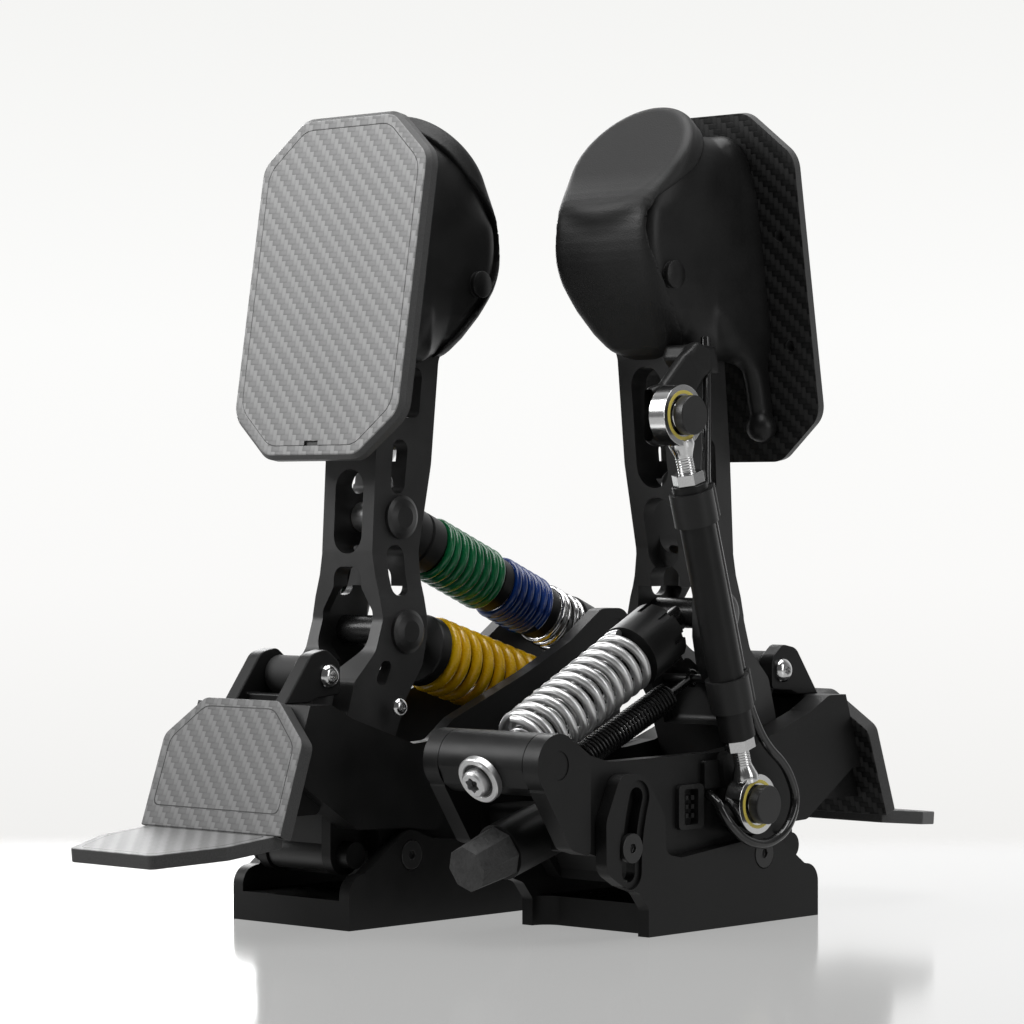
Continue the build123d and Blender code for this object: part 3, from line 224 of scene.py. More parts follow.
def finish(name, dark, light, rough, grain, depth, metallic=0.0, coat=0.0, mottle=14.0, level=0.5):
    """Plain moulded, painted or metal surface with grain, cloudy colour and uneven gloss.

    Grain and mottle are the sizes of the fine and the cloudy pattern, depth is the grain's relief.
    """
    material, tree, shader = new_material(name)
    cloud = noise(tree, mottle, 5.0)
    fine = noise(tree, grain, 3.0)
    both = cloud * 0.6 + fine * 0.4
    tree.links.new(ramp(tree, both, [(0.32, dark), (0.68, light)]), shader.inputs["Base Color"])
    gloss = ramp(tree, both, [(0.3, rough[0]), (0.7, rough[1])])
    tree.links.new(gloss, shader.inputs["Roughness"])
    shader.inputs["Metallic"].default_value = metallic
    shader.inputs["Specular IOR Level"].default_value = level
    shader.inputs["Coat Weight"].default_value = coat
    shader.inputs["Coat Roughness"].default_value = 0.08
    relief(tree, shader, fine, depth)
    return material


def mixed(tree, share, low, high):
    """One colour where a share is 0, another where it is 1."""
    node = tree.nodes.new("ShaderNodeMix")
    node.data_type = "RGBA"
    tree.links.new(share.socket, node.inputs[0])
    tree.links.new(low, node.inputs[6])
    tree.links.new(high, node.inputs[7])
    return node.outputs[2]


# Woven plates: tones and gloss are the low and high ends of a range. The pad and heel front tones are light grey
# as a painted reflection on twill whose own tone is the near-black of the rear.

TOW = 2.05
TWILL_REPEAT = 4.0
TWILL_OVER = 1.5
WEAVE_DEPTH = 0.05
FACE_DEPTH = 0.3
YARN = 0.35
YARN_STRETCH = 8
REAR_TONES = (0.001, 0.032)
EDGE_TONES = (0.050, 0.070)
PAD_SHEEN_TONES = (0.165, 0.335)
PAD_GLOSS = (0.42, 0.52)
PAD_LEVEL = 0.35
HEEL_SHEEN_TONES = (0.125, 0.235)
HEEL_GLOSS = (0.48, 0.58)
HEEL_LEVEL = 0.18


def board(name, pedal, planes, thickness, tones, gloss, level):
    """Plate of woven sheet: twill painted light grey in front as a painted reflection, grey cut edges, near-black
    twill behind.

    Each plane is a place and a direction along it in the side view, with the plate's front to its left.
    """
    material, tree, shader = new_material(name)
    split = tree.nodes.new("ShaderNodeSeparateXYZ")
    tree.links.new(position(tree), split.inputs[0])
    x, y, z = (Signal(tree, socket) * (1 / MM) for socket in split.outputs)
    y = y * pedal.turn + pedal.front
    depth = along = None
    for (start_y, start_z), (way_y, way_z) in planes:
        down = (y - start_y) * way_z - (z - start_z) * way_y
        station = (y - start_y) * way_y + (z - start_z) * way_z
        if depth is None:
            depth, along = down, station
        else:
            along = down.above(depth).blend(along, station)
            depth = depth.work("MAXIMUM", down)
    front = depth.below(FACE_DEPTH)
    behind = depth.above(thickness - FACE_DEPTH)
    u = x * (behind * -2.0 + 1.0) * (pedal.turn / TOW)
    v = along * (1 / TOW)
    phase = (u.floor() + v.floor()).wrap(TWILL_REPEAT)
    upright = phase.below(TWILL_OVER)
    across = upright.blend(v.fract(), u.fract())
    run = upright.blend((phase - 2.0 + u.fract()) * 0.5, (phase + v.fract()) * 0.5)
    height = across.hump().work("POWER", 0.4) * run.hump().work("POWER", 0.3)
    flat_yarn = noise(tree, YARN, 2.0, (YARN_STRETCH, 1, 1))
    upright_yarn = noise(tree, YARN, 2.0, (1, YARN_STRETCH, YARN_STRETCH))
    threads = upright.blend(flat_yarn, upright_yarn)
    cloud = noise(tree, 16.0, 3.0)
    # Painted light in the weave's tone: each tow's crown is painted lighter than its edges (painted shade where
    # tows meet), upright tows are painted lighter than flat ones and each float is graded along its run (painted
    # sheen); threads and cloud are random tone.
    shade = height * 0.28 + upright * 0.34 + run * 0.14 + threads * 0.12 + cloud * 0.12
    light = ramp(tree, shade, [(0.22, tones[0]), (0.88, tones[1])])
    dark = ramp(tree, shade, [(0.30, REAR_TONES[0]), (0.85, REAR_TONES[1])])
    edge = ramp(tree, noise(tree, 0.5, 3.0), [(0.3, EDGE_TONES[0]), (0.7, EDGE_TONES[1])])
    body = mixed(tree, behind, edge, dark)
    # Front face gets the light tones, a painted reflection; the back keeps the twill's own near-black tones.
    tree.links.new(mixed(tree, front, body, light), shader.inputs["Base Color"])
    tree.links.new(ramp(tree, threads, [(0.3, gloss[0]), (0.7, gloss[1])]), shader.inputs["Roughness"])
    shader.inputs["Specular IOR Level"].default_value = level
    relief(tree, shader, height * (front + behind), WEAVE_DEPTH)
    return material


def side_way(angle):
    """Direction in the side view that rises at an angle."""
    return (math.cos(math.radians(angle)), math.sin(math.radians(angle)))


LACQUER = {"rough": (0.18, 0.28), "grain": 0.8, "depth": 0.02, "coat": 0.5}
YELLOW_LACQUER = {**LACQUER, "rough": (0.22, 0.32)}
MATERIALS = {
    "anodised": finish("anodised_black", 0.003, 0.008, (0.36, 0.48), 0.22, 0.015, level=0.28),
    "arm": finish("anodised_satin", 0.014, 0.026, (0.34, 0.46), 0.22, 0.015, level=0.55),
    "bolt": finish("bolt_black", 0.010, 0.020, (0.30, 0.42), 0.3, 0.01),
    "shell": finish("shell_black_smooth", 0.006, 0.011, (0.34, 0.46), 0.9, 0.02, level=0.3),
    "cap": finish("cap_black_textured", 0.005, 0.012, (0.44, 0.56), 0.55, 0.10, level=0.32),
    "plastic": finish("plastic_black", 0.007, 0.014, (0.36, 0.50), 0.4, 0.02, level=0.35),
    "rubber": finish("rubber_black", 0.018, 0.034, (0.62, 0.8), 0.5, 0.05),
    "worn": finish("rubber_weathered", 0.008, 0.045, (0.5, 0.85), 1.6, 0.45, mottle=7.0),
    "cable": finish("cable_black", 0.006, 0.012, (0.14, 0.22), 1.2, 0.02, coat=0.4),
    "zinc": finish("steel_zinc", 0.62, 0.80, (0.10, 0.20), 0.5, 0.012, metallic=1.0),
    "satin": finish("steel_satin", 0.62, 0.74, (0.30, 0.40), 0.35, 0.02, metallic=0.9),
    "chrome": finish("steel_chrome", 0.72, 0.85, (0.05, 0.10), 0.8, 0.006, metallic=1.0),
    "black_steel": finish("steel_black", 0.02, 0.05, (0.22, 0.32), 0.4, 0.01, metallic=0.6),
    "green": finish("lacquer_green", (0.0, 0.095, 0.030), (0.002, 0.170, 0.055), **LACQUER),
    "blue": finish("lacquer_blue", (0.0, 0.018, 0.120), (0.002, 0.040, 0.240), **LACQUER),
    "yellow": finish("lacquer_yellow", (0.80, 0.44, 0.0), (0.95, 0.58, 0.0), **YELLOW_LACQUER),
    "liner": finish("liner_yellow", (0.62, 0.50, 0.08), (0.74, 0.62, 0.14), (0.35, 0.5), 0.6, 0.02),
}


def plate_materials(pedal):
    """Woven sheets of one pedal's pad and heel plate."""
    lean = math.radians(PAD_TILT)
    pad_way = (math.sin(lean), math.cos(lean))
    up = Vector((HEEL_HEAD[0] - HEEL_FOOT[0], HEEL_HEAD[1] - HEEL_FOOT[1])).normalized()
    out = Vector((HEEL_BEND[0] - HEEL_TOE[0], HEEL_BEND[1] - HEEL_TOE[1])).normalized()
    heel_planes = [(HEEL_FOOT, tuple(up)), (HEEL_BEND, tuple(out))]
    pad_planes = [(PAD_CENTRE, pad_way)]
    pad_name = f"{pedal.name}_pad_weave"
    heel_name = f"{pedal.name}_heel_weave"
    pad = board(pad_name, pedal, pad_planes, PAD_THICKNESS, PAD_SHEEN_TONES, PAD_GLOSS, PAD_LEVEL)
    heel = board(heel_name, pedal, heel_planes, HEEL_THICKNESS, HEEL_SHEEN_TONES, HEEL_GLOSS, HEEL_LEVEL)
    return {"pad_plate": pad, "pad_inlay": pad, "heel_plate": heel}


WEAVES = {pedal.name: plate_materials(pedal) for pedal in PEDALS}

# Body and finish of each carried-over node
BODIES = {node: body for body, names in frame["record"]["behaviour"]["bodies"].items() for node in names}
FINISHES = {
    "base": "anodised", "tilt_bolts": "bolt", "housing": "anodised", "socket": "plastic",
    "stop_bracket": "anodised", "stop_roller": "rubber", "arm": "arm",
    "arm_shaft": "anodised", "cross_pins": "bolt", "pod_pin": "bolt", "tie_rod": "anodised",
    "rod_ends": "zinc", "lower_ball_bolt": "bolt", "upper_ball_bolt": "bolt", "cable_clips": "plastic",
    "trunnion": "anodised", "plunger": "black_steel", "collar": "anodised", "upper_trunnion": "anodised",
    "upper_plunger": "satin", "upper_collars": "anodised", "front_spacer": "anodised",
    "rear_spacer": "anodised", "stop_knob": "worn", "pod_shell": "shell", "pod_cap": "cap",
    "cable": "cable",
}
BEVELS = {
    "base": 0.5, "housing": 0.6, "arm": 0.6, "heel_plate": 0.4, "pad_plate": 0.25, "stop_bracket": 0.5,
    "trunnion": 0.4, "collar": 0.3, "upper_collars": 0.3, "upper_trunnion": 0.4, "cable_clips": 0.3,
    "tilt_bolts": 0.2, "rod_ends": 0.25, "plunger": 0.25, "front_spacer": 0.3, "rear_spacer": 0.3,
    "tie_rod": 0.3, "pod_pin": 0.3, "pad_inlay": 0.1, "stop_roller": 0.4,
}


WELD_METRES = 1e-6
FLAT_ANGLE = math.radians(0.8)
EDGE_ANGLE = math.radians(32)


def soften(node, width):
    """Rounded edges on a carried-over solid."""
    weld = node.modifiers.new("weld", "WELD")
    weld.merge_threshold = WELD_METRES
    flatten = node.modifiers.new("flatten", "DECIMATE")
    flatten.decimate_type = "DISSOLVE"
    flatten.angle_limit = FLAT_ANGLE
    edge = node.modifiers.new("edge", "BEVEL")
    edge.width = width * MM
    edge.segments = 2
    edge.limit_method = "ANGLE"
    edge.angle_limit = EDGE_ANGLE
    edge.harden_normals = False
    edge.use_clamp_overlap = True
    normals = node.modifiers.new("normals", "WEIGHTED_NORMAL")
    normals.keep_sharp = True


def dress_nodes():
    """A finish and soft edges for every carried-over node."""
    for name, node in frame["nodes"].items():
        side, label = name.split("_", 1)
        material = WEAVES[side].get(label) or MATERIALS[FINISHES.get(label, "black_steel")]
        node.data.materials.clear()
        node.data.materials.append(material)
        if label in BEVELS:
            soften(node, BEVELS[label])


dress_nodes()


# Mesh building

def piece(name, pedal, body, verts, faces, material, slot, smooth):
    """A mesh from points in the pedal's frame, riding a body if one is given.

    Edges that turn by more than the smooth angle, in degrees, stay sharp.
    """
    place = np.array(pedal.place)
    points = np.array([tuple(v) for v in verts], float) @ place[:3, :3].T + place[:3, 3]
    mesh = bpy.data.meshes.new(name)
    mesh.from_pydata(points.tolist(), [], [[int(i) for i in f] for f in faces])
    mesh.materials.append(material)
    mesh.validate()
    work = bmesh.new()
    work.from_mesh(mesh)
    bmesh.ops.recalc_face_normals(work, faces=work.faces)
    work.to_mesh(mesh)
    work.free()
    mesh.shade_smooth()
    mesh.set_sharp_from_angle(angle=math.radians(smooth))
    shape = bpy.data.objects.new(name, mesh)
    bpy.context.scene.collection.objects.link(shape)
    if body:
        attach(shape, body)
    return shape


def run_frame(x, start, end):
    """Matrix whose x runs from one place to another in the side view."""
    run = Vector((0, end[0] - start[0], end[1] - start[1])).normalized()
    across = Vector((1, 0, 0))
    up = across.cross(run)
    turn = Matrix((run, up, across)).transposed().to_4x4()
    return Matrix.Translation((x, *start)) @ turn


def cross_frame(x, place, way):
    """Matrix whose x runs across the pedal, outward on one side."""
    run = Vector((way, 0, 0))
    up = Vector((0, 0, 1))
    turn = Matrix((run, up, run.cross(up))).transposed().to_4x4()
    return Matrix.Translation((x, *place)) @ turn


def span(start, end):
    return math.hypot(end[0] - start[0], end[1] - start[1])


def star(angle):
    """Radius of a six-lobed driver socket."""
    lobes, lobe_share = 6, 0.13
    return 1 + lobe_share * math.cos(lobes * angle)


def round_form(angle):
    return 1.0


def drum(start, end, radius, rim=0.5):
    """Rows of a round drum with bevelled rims, for turned()."""
    return [(start, radius - rim), (start + rim, radius), (end - rim, radius), (end, radius - rim)]


def turned(rows, place, segments=SEGMENTS):
    """Closed body of rings about a line: rows are (station, radius), with a form where it isn't round."""
    verts = []
    faces = []
    rings = []
    for row in rows:
        station, radius = row[0], row[1]
        form = row[2] if len(row) > 2 else round_form
        if radius == 0:
            rings.append([len(verts)])
            verts.append(place @ Vector((station, 0, 0)))
            continue
        ring = []
        for step in range(segments):
            angle = 2 * math.pi * step / segments
            reach = radius * form(angle)
            ring.append(len(verts))
            verts.append(place @ Vector((station, reach * math.cos(angle), reach * math.sin(angle))))
        rings.append(ring)
    for first, second in zip(rings, rings[1:]):
        for step in range(segments):
            after = (step + 1) % segments
            if len(first) == 1:
                faces.append((first[0], second[step], second[after]))
            elif len(second) == 1:
                faces.append((first[step], second[0], first[after]))
            else:
                faces.append((first[step], second[step], second[after], first[after]))
    return verts, faces


def merge(*parts):
    """Several meshes as one."""
    verts = []
    faces = []
    for more_verts, more_faces in parts:
        base = len(verts)
        verts += more_verts
        faces += [tuple(base + i for i in face) for face in more_faces]
    return verts, faces


CLOSED_PITCH = 1.02


def coil(place, start, end, outer, wire, turns, squat=1.0, closed=0.75, steps=36, sides=14):
    """Wound wire with closed end turns: wire is its radial width, squat its axial width over that."""
    thick = wire * squat
    free = (end - start) - thick
    total = int(turns * steps)
    tight = closed * steps
    active = total - 2 * tight
    lead = (free - 2 * closed * thick * CLOSED_PITCH) / active
    verts = []
    faces = []
    station = start + thick / 2
    for step in range(total + 1):
        angle = 2 * math.pi * step / steps
        ring = []
        for side in range(sides):
            turn = 2 * math.pi * side / sides
            across = outer - wire / 2 + wire / 2 * math.cos(turn)
            along = station + thick / 2 * math.sin(turn)
            verts.append(place @ Vector((along, across * math.cos(angle), across * math.sin(angle))))
        near_end = step < tight or step >= total - tight
        station += closed * thick * CLOSED_PITCH / tight if near_end else lead
    for step in range(total):
        for side in range(sides):
            after = (side + 1) % sides
            low = step * sides
            faces.append((low + side, low + after, low + sides + after, low + sides + side))
    faces.append(tuple(range(sides)))
    faces.append(tuple(range(total * sides, (total + 1) * sides)))
    return verts, faces


# Springs: starts, ends and lengths run along a spring unit, from its pin on the arm

BARREL_FLAT = 10.4
COLLAR_START = 25.6
COLLAR_END = 30.8
COLLAR_RADIUS = 13.4
CORE_END = 49.7
CORE_RADIUS = 9.6
YELLOW_START = 31.0
YELLOW_WIRE = {"outer": 14.4, "wire": 4.4, "turns": 10, "squat": 0.95}
UPPER_COLLAR_START = 14.0
UPPER_COLLAR_END = 29.1
UPPER_COLLAR_RADIUS = 11.2
UPPER_COLLAR_GROOVE = [(20.0, 11.2), (20.4, 10.4), (21.4, 10.4), (21.8, 11.2)]
UPPER_CORE_END = 37.5
UPPER_CORE_RADIUS = 8.4
END_COLLAR_START = 113.2
END_COLLAR_END = 122.2
END_COLLAR_RADIUS = 12.6
END_COLLAR_BORE = 5.0
GREEN_START = 29.5
GREEN_END = 64.5
SPACER_LENGTH = 5.1
BLUE_LENGTH = 23.7
CHROME_LENGTH = 14.8
THROTTLE_COLLAR_START = 16.2
THROTTLE_COLLAR_LENGTH = 18.2
SILVER_WIRE = {"outer": 12.0, "wire": 3.3, "turns": 12}
INNER_WIRE = {"outer": 6.6, "wire": 1.1, "turns": 22, "sides": 8, "steps": 24}


def make_lower_spring():
    """Brake's yellow spring, over a collar and a core."""
    run = run_frame(0, BRAKE_PIN, BRAKE_SEAT)
    last = span(BRAKE_PIN, BRAKE_SEAT) - BARREL_FLAT
    collar = turned([
        (COLLAR_START, 0), *drum(COLLAR_START, COLLAR_END, COLLAR_RADIUS),
        (COLLAR_END, CORE_RADIUS), (CORE_END, CORE_RADIUS), (CORE_END, 0),
    ], run)
    body = BODIES["brake_collar"]
    core = piece("brake_slim_collar", BRAKE, body, *collar, MATERIALS["plastic"], "black_anodised", 40)
    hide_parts("brake_collar")
    work = coil(run, YELLOW_START, last, **YELLOW_WIRE)
    body = "brake_trunnion_body"
    spring = piece("brake_yellow_coil", BRAKE, body, *work, MATERIALS["yellow"], "yellow_lacquer", 60)
    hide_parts("brake_spring")
    squash(spring, BRAKE, "brake_plunger_slide", run, last, last - YELLOW_START)


def make_upper_collars(run):
    """Grooved collar and core in front of the three upper springs, and the collar behind them."""
    rim = drum(UPPER_COLLAR_START, UPPER_COLLAR_END, UPPER_COLLAR_RADIUS)
    cores = turned([
        (UPPER_COLLAR_START, 0), *rim[:2], *UPPER_COLLAR_GROOVE, *rim[2:],
        (UPPER_COLLAR_END, UPPER_CORE_RADIUS), (UPPER_CORE_END, UPPER_CORE_RADIUS), (UPPER_CORE_END, 0),
    ], run)
    end_collar = turned([
        (END_COLLAR_START, END_COLLAR_BORE), *drum(END_COLLAR_START, END_COLLAR_END, END_COLLAR_RADIUS),
        (END_COLLAR_END, END_COLLAR_BORE), (END_COLLAR_START, END_COLLAR_BORE),
    ], run)
    work = merge(cores, end_collar)
    body = BODIES["brake_upper_collars"]
    core = piece("brake_slim_upper_collars", BRAKE, body, *work, MATERIALS["plastic"], "black_anodised", 40)
    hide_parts("brake_upper_collars")


def make_upper_springs():
    """Brake's green, blue and chrome springs, one behind the other with a spacer between each two."""
    run = run_frame(0, UPPER_PIN, UPPER_SEAT)
    make_upper_collars(run)
    blue_start = GREEN_END + SPACER_LENGTH
    blue_end = blue_start + BLUE_LENGTH
    chrome_start = blue_end + SPACER_LENGTH
    chrome_end = chrome_start + CHROME_LENGTH
    lacquered = {"outer": 12.2, "wire": 3.4, "squat": 0.9}
    # Colour, slot, start, end, wire, what carries it, the joint that works it and its share of that travel
    stack = (
        ("green", "green_lacquer", GREEN_START, GREEN_END, {**lacquered, "turns": 7.6},
         "brake_front_spacer", "brake_front_spacer_slide", 1 / 3),
        ("blue", "blue_lacquer", blue_start, blue_end, {**lacquered, "turns": 5.4},
         "brake_rear_spacer", "brake_rear_spacer_slide", 1 / 2),
        ("chrome", "bright_chrome", chrome_start, chrome_end, {"outer": 12.0, "wire": 1.7, "turns": 3.6},
         "brake_upper_trunnion", "brake_upper_slide", 1 / 2),
    )
    for colour, slot, start, end, wire, carrier, joint, give in stack:
        work = coil(run, start, end, **wire)
        spring = piece(f"brake_{colour}_coil", BRAKE, BODIES[carrier], *work, MATERIALS[colour], slot, 60)
        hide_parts(f"brake_{colour}_spring")
        squash(spring, BRAKE, joint, run, end, end - start, give)


def make_throttle_spring():
    """Throttle's silver spring, with a thin one inside."""
    run = run_frame(0, THROTTLE_PIN, THROTTLE_SEAT)
    first = THROTTLE_COLLAR_START + THROTTLE_COLLAR_LENGTH
    last = span(THROTTLE_PIN, THROTTLE_SEAT) - BARREL_FLAT
    work = merge(coil(run, first, last, **SILVER_WIRE), coil(run, first, last, **INNER_WIRE))
    body = "throttle_trunnion_body"
    spring = piece("throttle_silver_coil", THROTTLE, body, *work, MATERIALS["satin"], "zinc_steel", 60)
    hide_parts("throttle_spring")
    squash(spring, THROTTLE, "throttle_plunger_slide", run, last, last - first)


def squash(spring, pedal, joint, place, fixed, length, give=1.0):
    """Gives the spring its own mesh; how far it would shorten towards its fixed end by a share of what its joint
    slides is worked out but not applied.
    """
    travel = next(j for j in frame["joints"] if j["name"] == joint)["range_m"][1]
    axis = pedal.heading(place.to_3x3() @ Vector((1, 0, 0)))
    anchor = pedal.row(place @ Vector((fixed, 0, 0)))
    1 - give * travel / (length * MM)
    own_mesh(spring)


DRAW_LEAD = 15.0
DRAW_TURNS = 28
DRAW_PITCH = 1.8
DRAW_WIRE = 1.3
DRAW_OUTER = 5.2
DRAW_EYE = 3.4
# Bar from an eye to the winding: (distance, radius), from the eye and then from the winding's end
DRAW_EYE_ROWS = ((1.6, 0), (1.8, 1.3), (2.4, 1.6))
DRAW_PLUG_ROWS = ((-2.0, 1.6), (0.6, 3.6), (4.0, 3.7), (4.4, 3.2), (4.5, 0))


def make_draw_spring():
    """Close-wound draw spring with an eye at each end, stretched between the housing and the arm."""
    run = run_frame(0, HOOK_PIN, ANCHOR)
    wound_end = DRAW_LEAD + DRAW_TURNS * DRAW_PITCH + DRAW_WIRE
    winding = {"outer": DRAW_OUTER, "wire": DRAW_WIRE, "turns": DRAW_TURNS}
    parts = [coil(run, DRAW_LEAD, wound_end, **winding, closed=0.5, steps=28, sides=10)]
    for way, eye, end in ((1, 0.0, DRAW_LEAD), (-1, span(HOOK_PIN, ANCHOR), wound_end)):
        rows = [(eye + way * distance, radius) for distance, radius in DRAW_EYE_ROWS]
        rows += [(end + way * distance, radius) for distance, radius in DRAW_PLUG_ROWS]
        parts.append(turned(rows, run, 24))
        parts.append(ring_loop(run, eye, DRAW_EYE, DRAW_WIRE))
    work = merge(*parts)
    metal = MATERIALS["black_steel"]
    spring = piece("throttle_draw_spring", THROTTLE, None, *work, metal, "black_spring_steel", 60)
    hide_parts("throttle_return_spring")
    end = THROTTLE.row((0, *HOOK_PIN))
    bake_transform(spring)


def ring_loop(place, station, radius, wire, steps=28, sides=10):
    """Round eye of wire about a cross line."""
    verts = []
    faces = []
    for step in range(steps):
        angle = 2 * math.pi * step / steps
        for side in range(sides):
            turn = 2 * math.pi * side / sides
            reach = radius - wire / 2 + wire / 2 * math.cos(turn)
            point = (station + reach * math.cos(angle), reach * math.sin(angle), wire / 2 * math.sin(turn))
            verts.append(place @ Vector(point))
    for step in range(steps):
        for side in range(sides):
            low = step * sides
            high = ((step + 1) % steps) * sides
            after = (side + 1) % sides
            faces.append((low + side, low + after, high + after, high + side))
    return verts, faces


make_lower_spring()
make_upper_springs()
make_throttle_spring()
make_draw_spring()


# Smooth bodies from distance fields, negative inside

def smooth_low(a, b, reach):
    """Union of two fields with a rounded joint."""
    share = np.clip(0.5 + 0.5 * (b - a) / reach, 0, 1)
    return b * (1 - share) + a * share - reach * share * (1 - share)


def smooth_high(a, b, reach):
    """Common part of two fields with a rounded edge."""
    return -smooth_low(-a, -b, reach)


def outline_distance(u, v, corners):
    """Distance to a closed outline."""
    best = np.inf
    inside = np.zeros(np.broadcast(u, v).shape, bool)
    for (au, av), (bu, bv) in zip(corners, corners[1:] + corners[:1]):
        eu, ev = bu - au, bv - av
        share = np.clip(((u - au) * eu + (v - av) * ev) / (eu * eu + ev * ev), 0, 1)
        best = np.minimum(best, (u - au - eu * share) ** 2 + (v - av - ev * share) ** 2)
        if ev:
            inside ^= ((av > v) != (bv > v)) & (u < eu * (v - av) / ev + au)
    return np.where(inside, -1, 1) * np.sqrt(best)


def cut_corners(corners, times=2):
    """Closed outline with its corners cut again and again, so that it turns smoothly."""
    points = np.array(corners, float)
    for _ in range(times):
        after = np.roll(points, -1, axis=0)
        points = np.stack((points * 0.75 + after * 0.25, points * 0.25 + after * 0.75), 1).reshape(-1, 2)
    return [tuple(p) for p in points]


def surface(field, low, high, step):
    """Mesh of the level where a field is zero, with one point in each grid cell that it crosses."""
    axes = [np.arange(a, b + step, step) for a, b in zip(low, high)]
    values = np.broadcast_to(field(*np.ix_(*axes)), [len(a) for a in axes])
    inside = values < 0
    corner = [slice(0, -1), slice(1, None)]
    count = sum(inside[i, j, k].astype(int) for i in corner for j in corner for k in corner)
    crossed = (count > 0) & (count < 8)
    index = np.full(crossed.shape, -1)
    index[crossed] = np.arange(crossed.sum())
    points = (np.argwhere(crossed) + 0.5) * step + np.array(low)
    faces = []
    for axis in range(3):
        others = [k for k in range(3) if k != axis]
        before = [slice(1, -1)] * 3
        after = [slice(1, -1)] * 3
        before[axis] = slice(0, -1)
        after[axis] = slice(1, None)
        edges = np.argwhere(inside[tuple(before)] != inside[tuple(after)])
        edges[:, others] += 1
        ring = []
        for du, dv in ((-1, -1), (0, -1), (0, 0), (-1, 0)):
            cell = edges.copy()
            cell[:, others[0]] += du
            cell[:, others[1]] += dv
            ring.append(index[tuple(cell.T)])
        faces.append(np.stack(ring, 1))
    faces = np.concatenate(faces)
    return settle(field, points, step), faces[(faces >= 0).all(axis=1)]


def settle(field, points, step, times=5):
    """Move points along the field's slope until they lie on its zero level."""
    nudge = step / 20
    for _ in range(times):
        x, y, z = points.T
        value = field(x, y, z)
        slope = np.stack((
            field(x + nudge, y, z) - field(x - nudge, y, z),
            field(x, y + nudge, z) - field(x, y - nudge, z),
            field(x, y, z + nudge) - field(x, y, z - nudge),
        ), 1) / (2 * nudge)
        size = np.maximum((slope ** 2).sum(axis=1), 0.2)
        move = slope * (value / size)[:, None]
        points = points - np.clip(move, -step / 2, step / 2)
    return points


# Pod: a barrel behind the pad that ends in a round tilted face, over a lobe that houses the pivot

POD_FACE = (73.5, 277.5)
POD_AXIS = side_way(90 - 51.5)
POD_RADIUS = 26.6
POD_HALF = 24.4
POD_RIM = 4.6
BARREL_TAPER = 0.10
TAPER_START = 9
BARREL_DEPTH = 58
LOBE_START = 50
LOBE_BLEND = 12
FULL_WIDTH_FROM = 60
CAP_PROUD = 1.7
CAP_WALL = 2.6
CHANNEL_HALF = 13.6
POD_SIDE = cut_corners([
    (0, 204), (0, 286), (28, 287), (40, 289), (52, 284), (66, 268), (84, 263), (89.5, 256),
    (89.5, 240), (84.5, 229), (75, 216), (66, 204), (50, 202),
])
CAP_SIDE = [
    (44.3, 299.7), (50.3, 292.2), (60.3, 279.4), (66.4, 272.8), (75.6, 266.4), (83.3, 261.2),
    (87.2, 255.8), (88.1, 250.2), (87.2, 243.6), (83.6, 235.6), (78.0, 227.8), (71.0, 219.0),
    (63.0, 210.5), (56.0, 200.0), (120.0, 200.0), (120.0, 310.0), (44.3, 310.0),
]
CHANNEL_SIDE = [
    (0, 150), (0, 206), (19, 221), (64, 246.5), (96, 246.5), (96, 150),
]
RIB_SIDE = cut_corners([
    (0, 178), (0, 224), (50, 224), (42, 213), (33, 207), (27.5, 198), (25, 186), (22, 178),
], 1)
RIB_NEAR = 15.0
RIB_FAR = 22.5
RIB_BALL = (19.5, 20.5, 180.5)
SCREW_BOSS = (17.0, 40.0, 280.5)
BALL_END_RADIUS = 5.6
LUG_BLOCK_SIDE = [(55, 199), (66, 199), (72, 204), (70, 209), (58, 209)]
LUG_SIDE = [(76.5, 183.3), (62, 200), (62, 207), (68, 210), (76, 205), (98.5, 183.3)]
LUG_RADIUS = 11.0
LUG_ROOT = 14.2
LUG_NEAR = 25.0
LUG_FAR = 29.0
PLATE_HALF_STATIONS = (176, 191, 216, 242, 265, 287)
PLATE_HALF_WIDTHS = (26.0, 27.0, 27.2, 27.2, 27.0, 23.5)
LOBE_STATIONS = (200, 204, 208, 214, 222, 232, 300)
LOBE_HALF_WIDTHS = (4.0, 10.0, 16.0, 20.0, 22.8, 24.4, 24.4)
SHELL_ROOM = ((-31, 2, 172), (27, 94, 302))
SHELL_GRID = 1.0
CAP_ROOM = ((-28, 40, 198), (28, 96, 302))
CAP_GRID = 0.7


def plate_back(z):
    """Station of the pad plate's back at a height."""
    lean = math.tan(math.radians(PAD_TILT))
    return PAD_CENTRE[0] + PAD_THICKNESS / math.cos(math.radians(PAD_TILT)) + (z - PAD_CENTRE[1]) * lean


def width_share(y, z):
    """0 at the pad plate's back, 1 where the pod has its full width."""
    return np.clip((y - plate_back(z)) / (FULL_WIDTH_FROM - plate_back(z)), 0, 1)


def pod_half_width(y, z):
    """Half width of the pod, drawn in towards the pad and at the foot of the lobe."""
    foot = np.interp(z, PLATE_HALF_STATIONS, PLATE_HALF_WIDTHS)
    lobe = np.interp(z, LOBE_STATIONS, LOBE_HALF_WIDTHS)
    share = width_share(y, z)
    share = share * (2 - share)
    rear = np.clip((y - LOBE_START) / LOBE_BLEND, 0, 1)
    full = foot + (POD_HALF - foot) * share
    return full + (np.minimum(full, lobe) - full) * rear


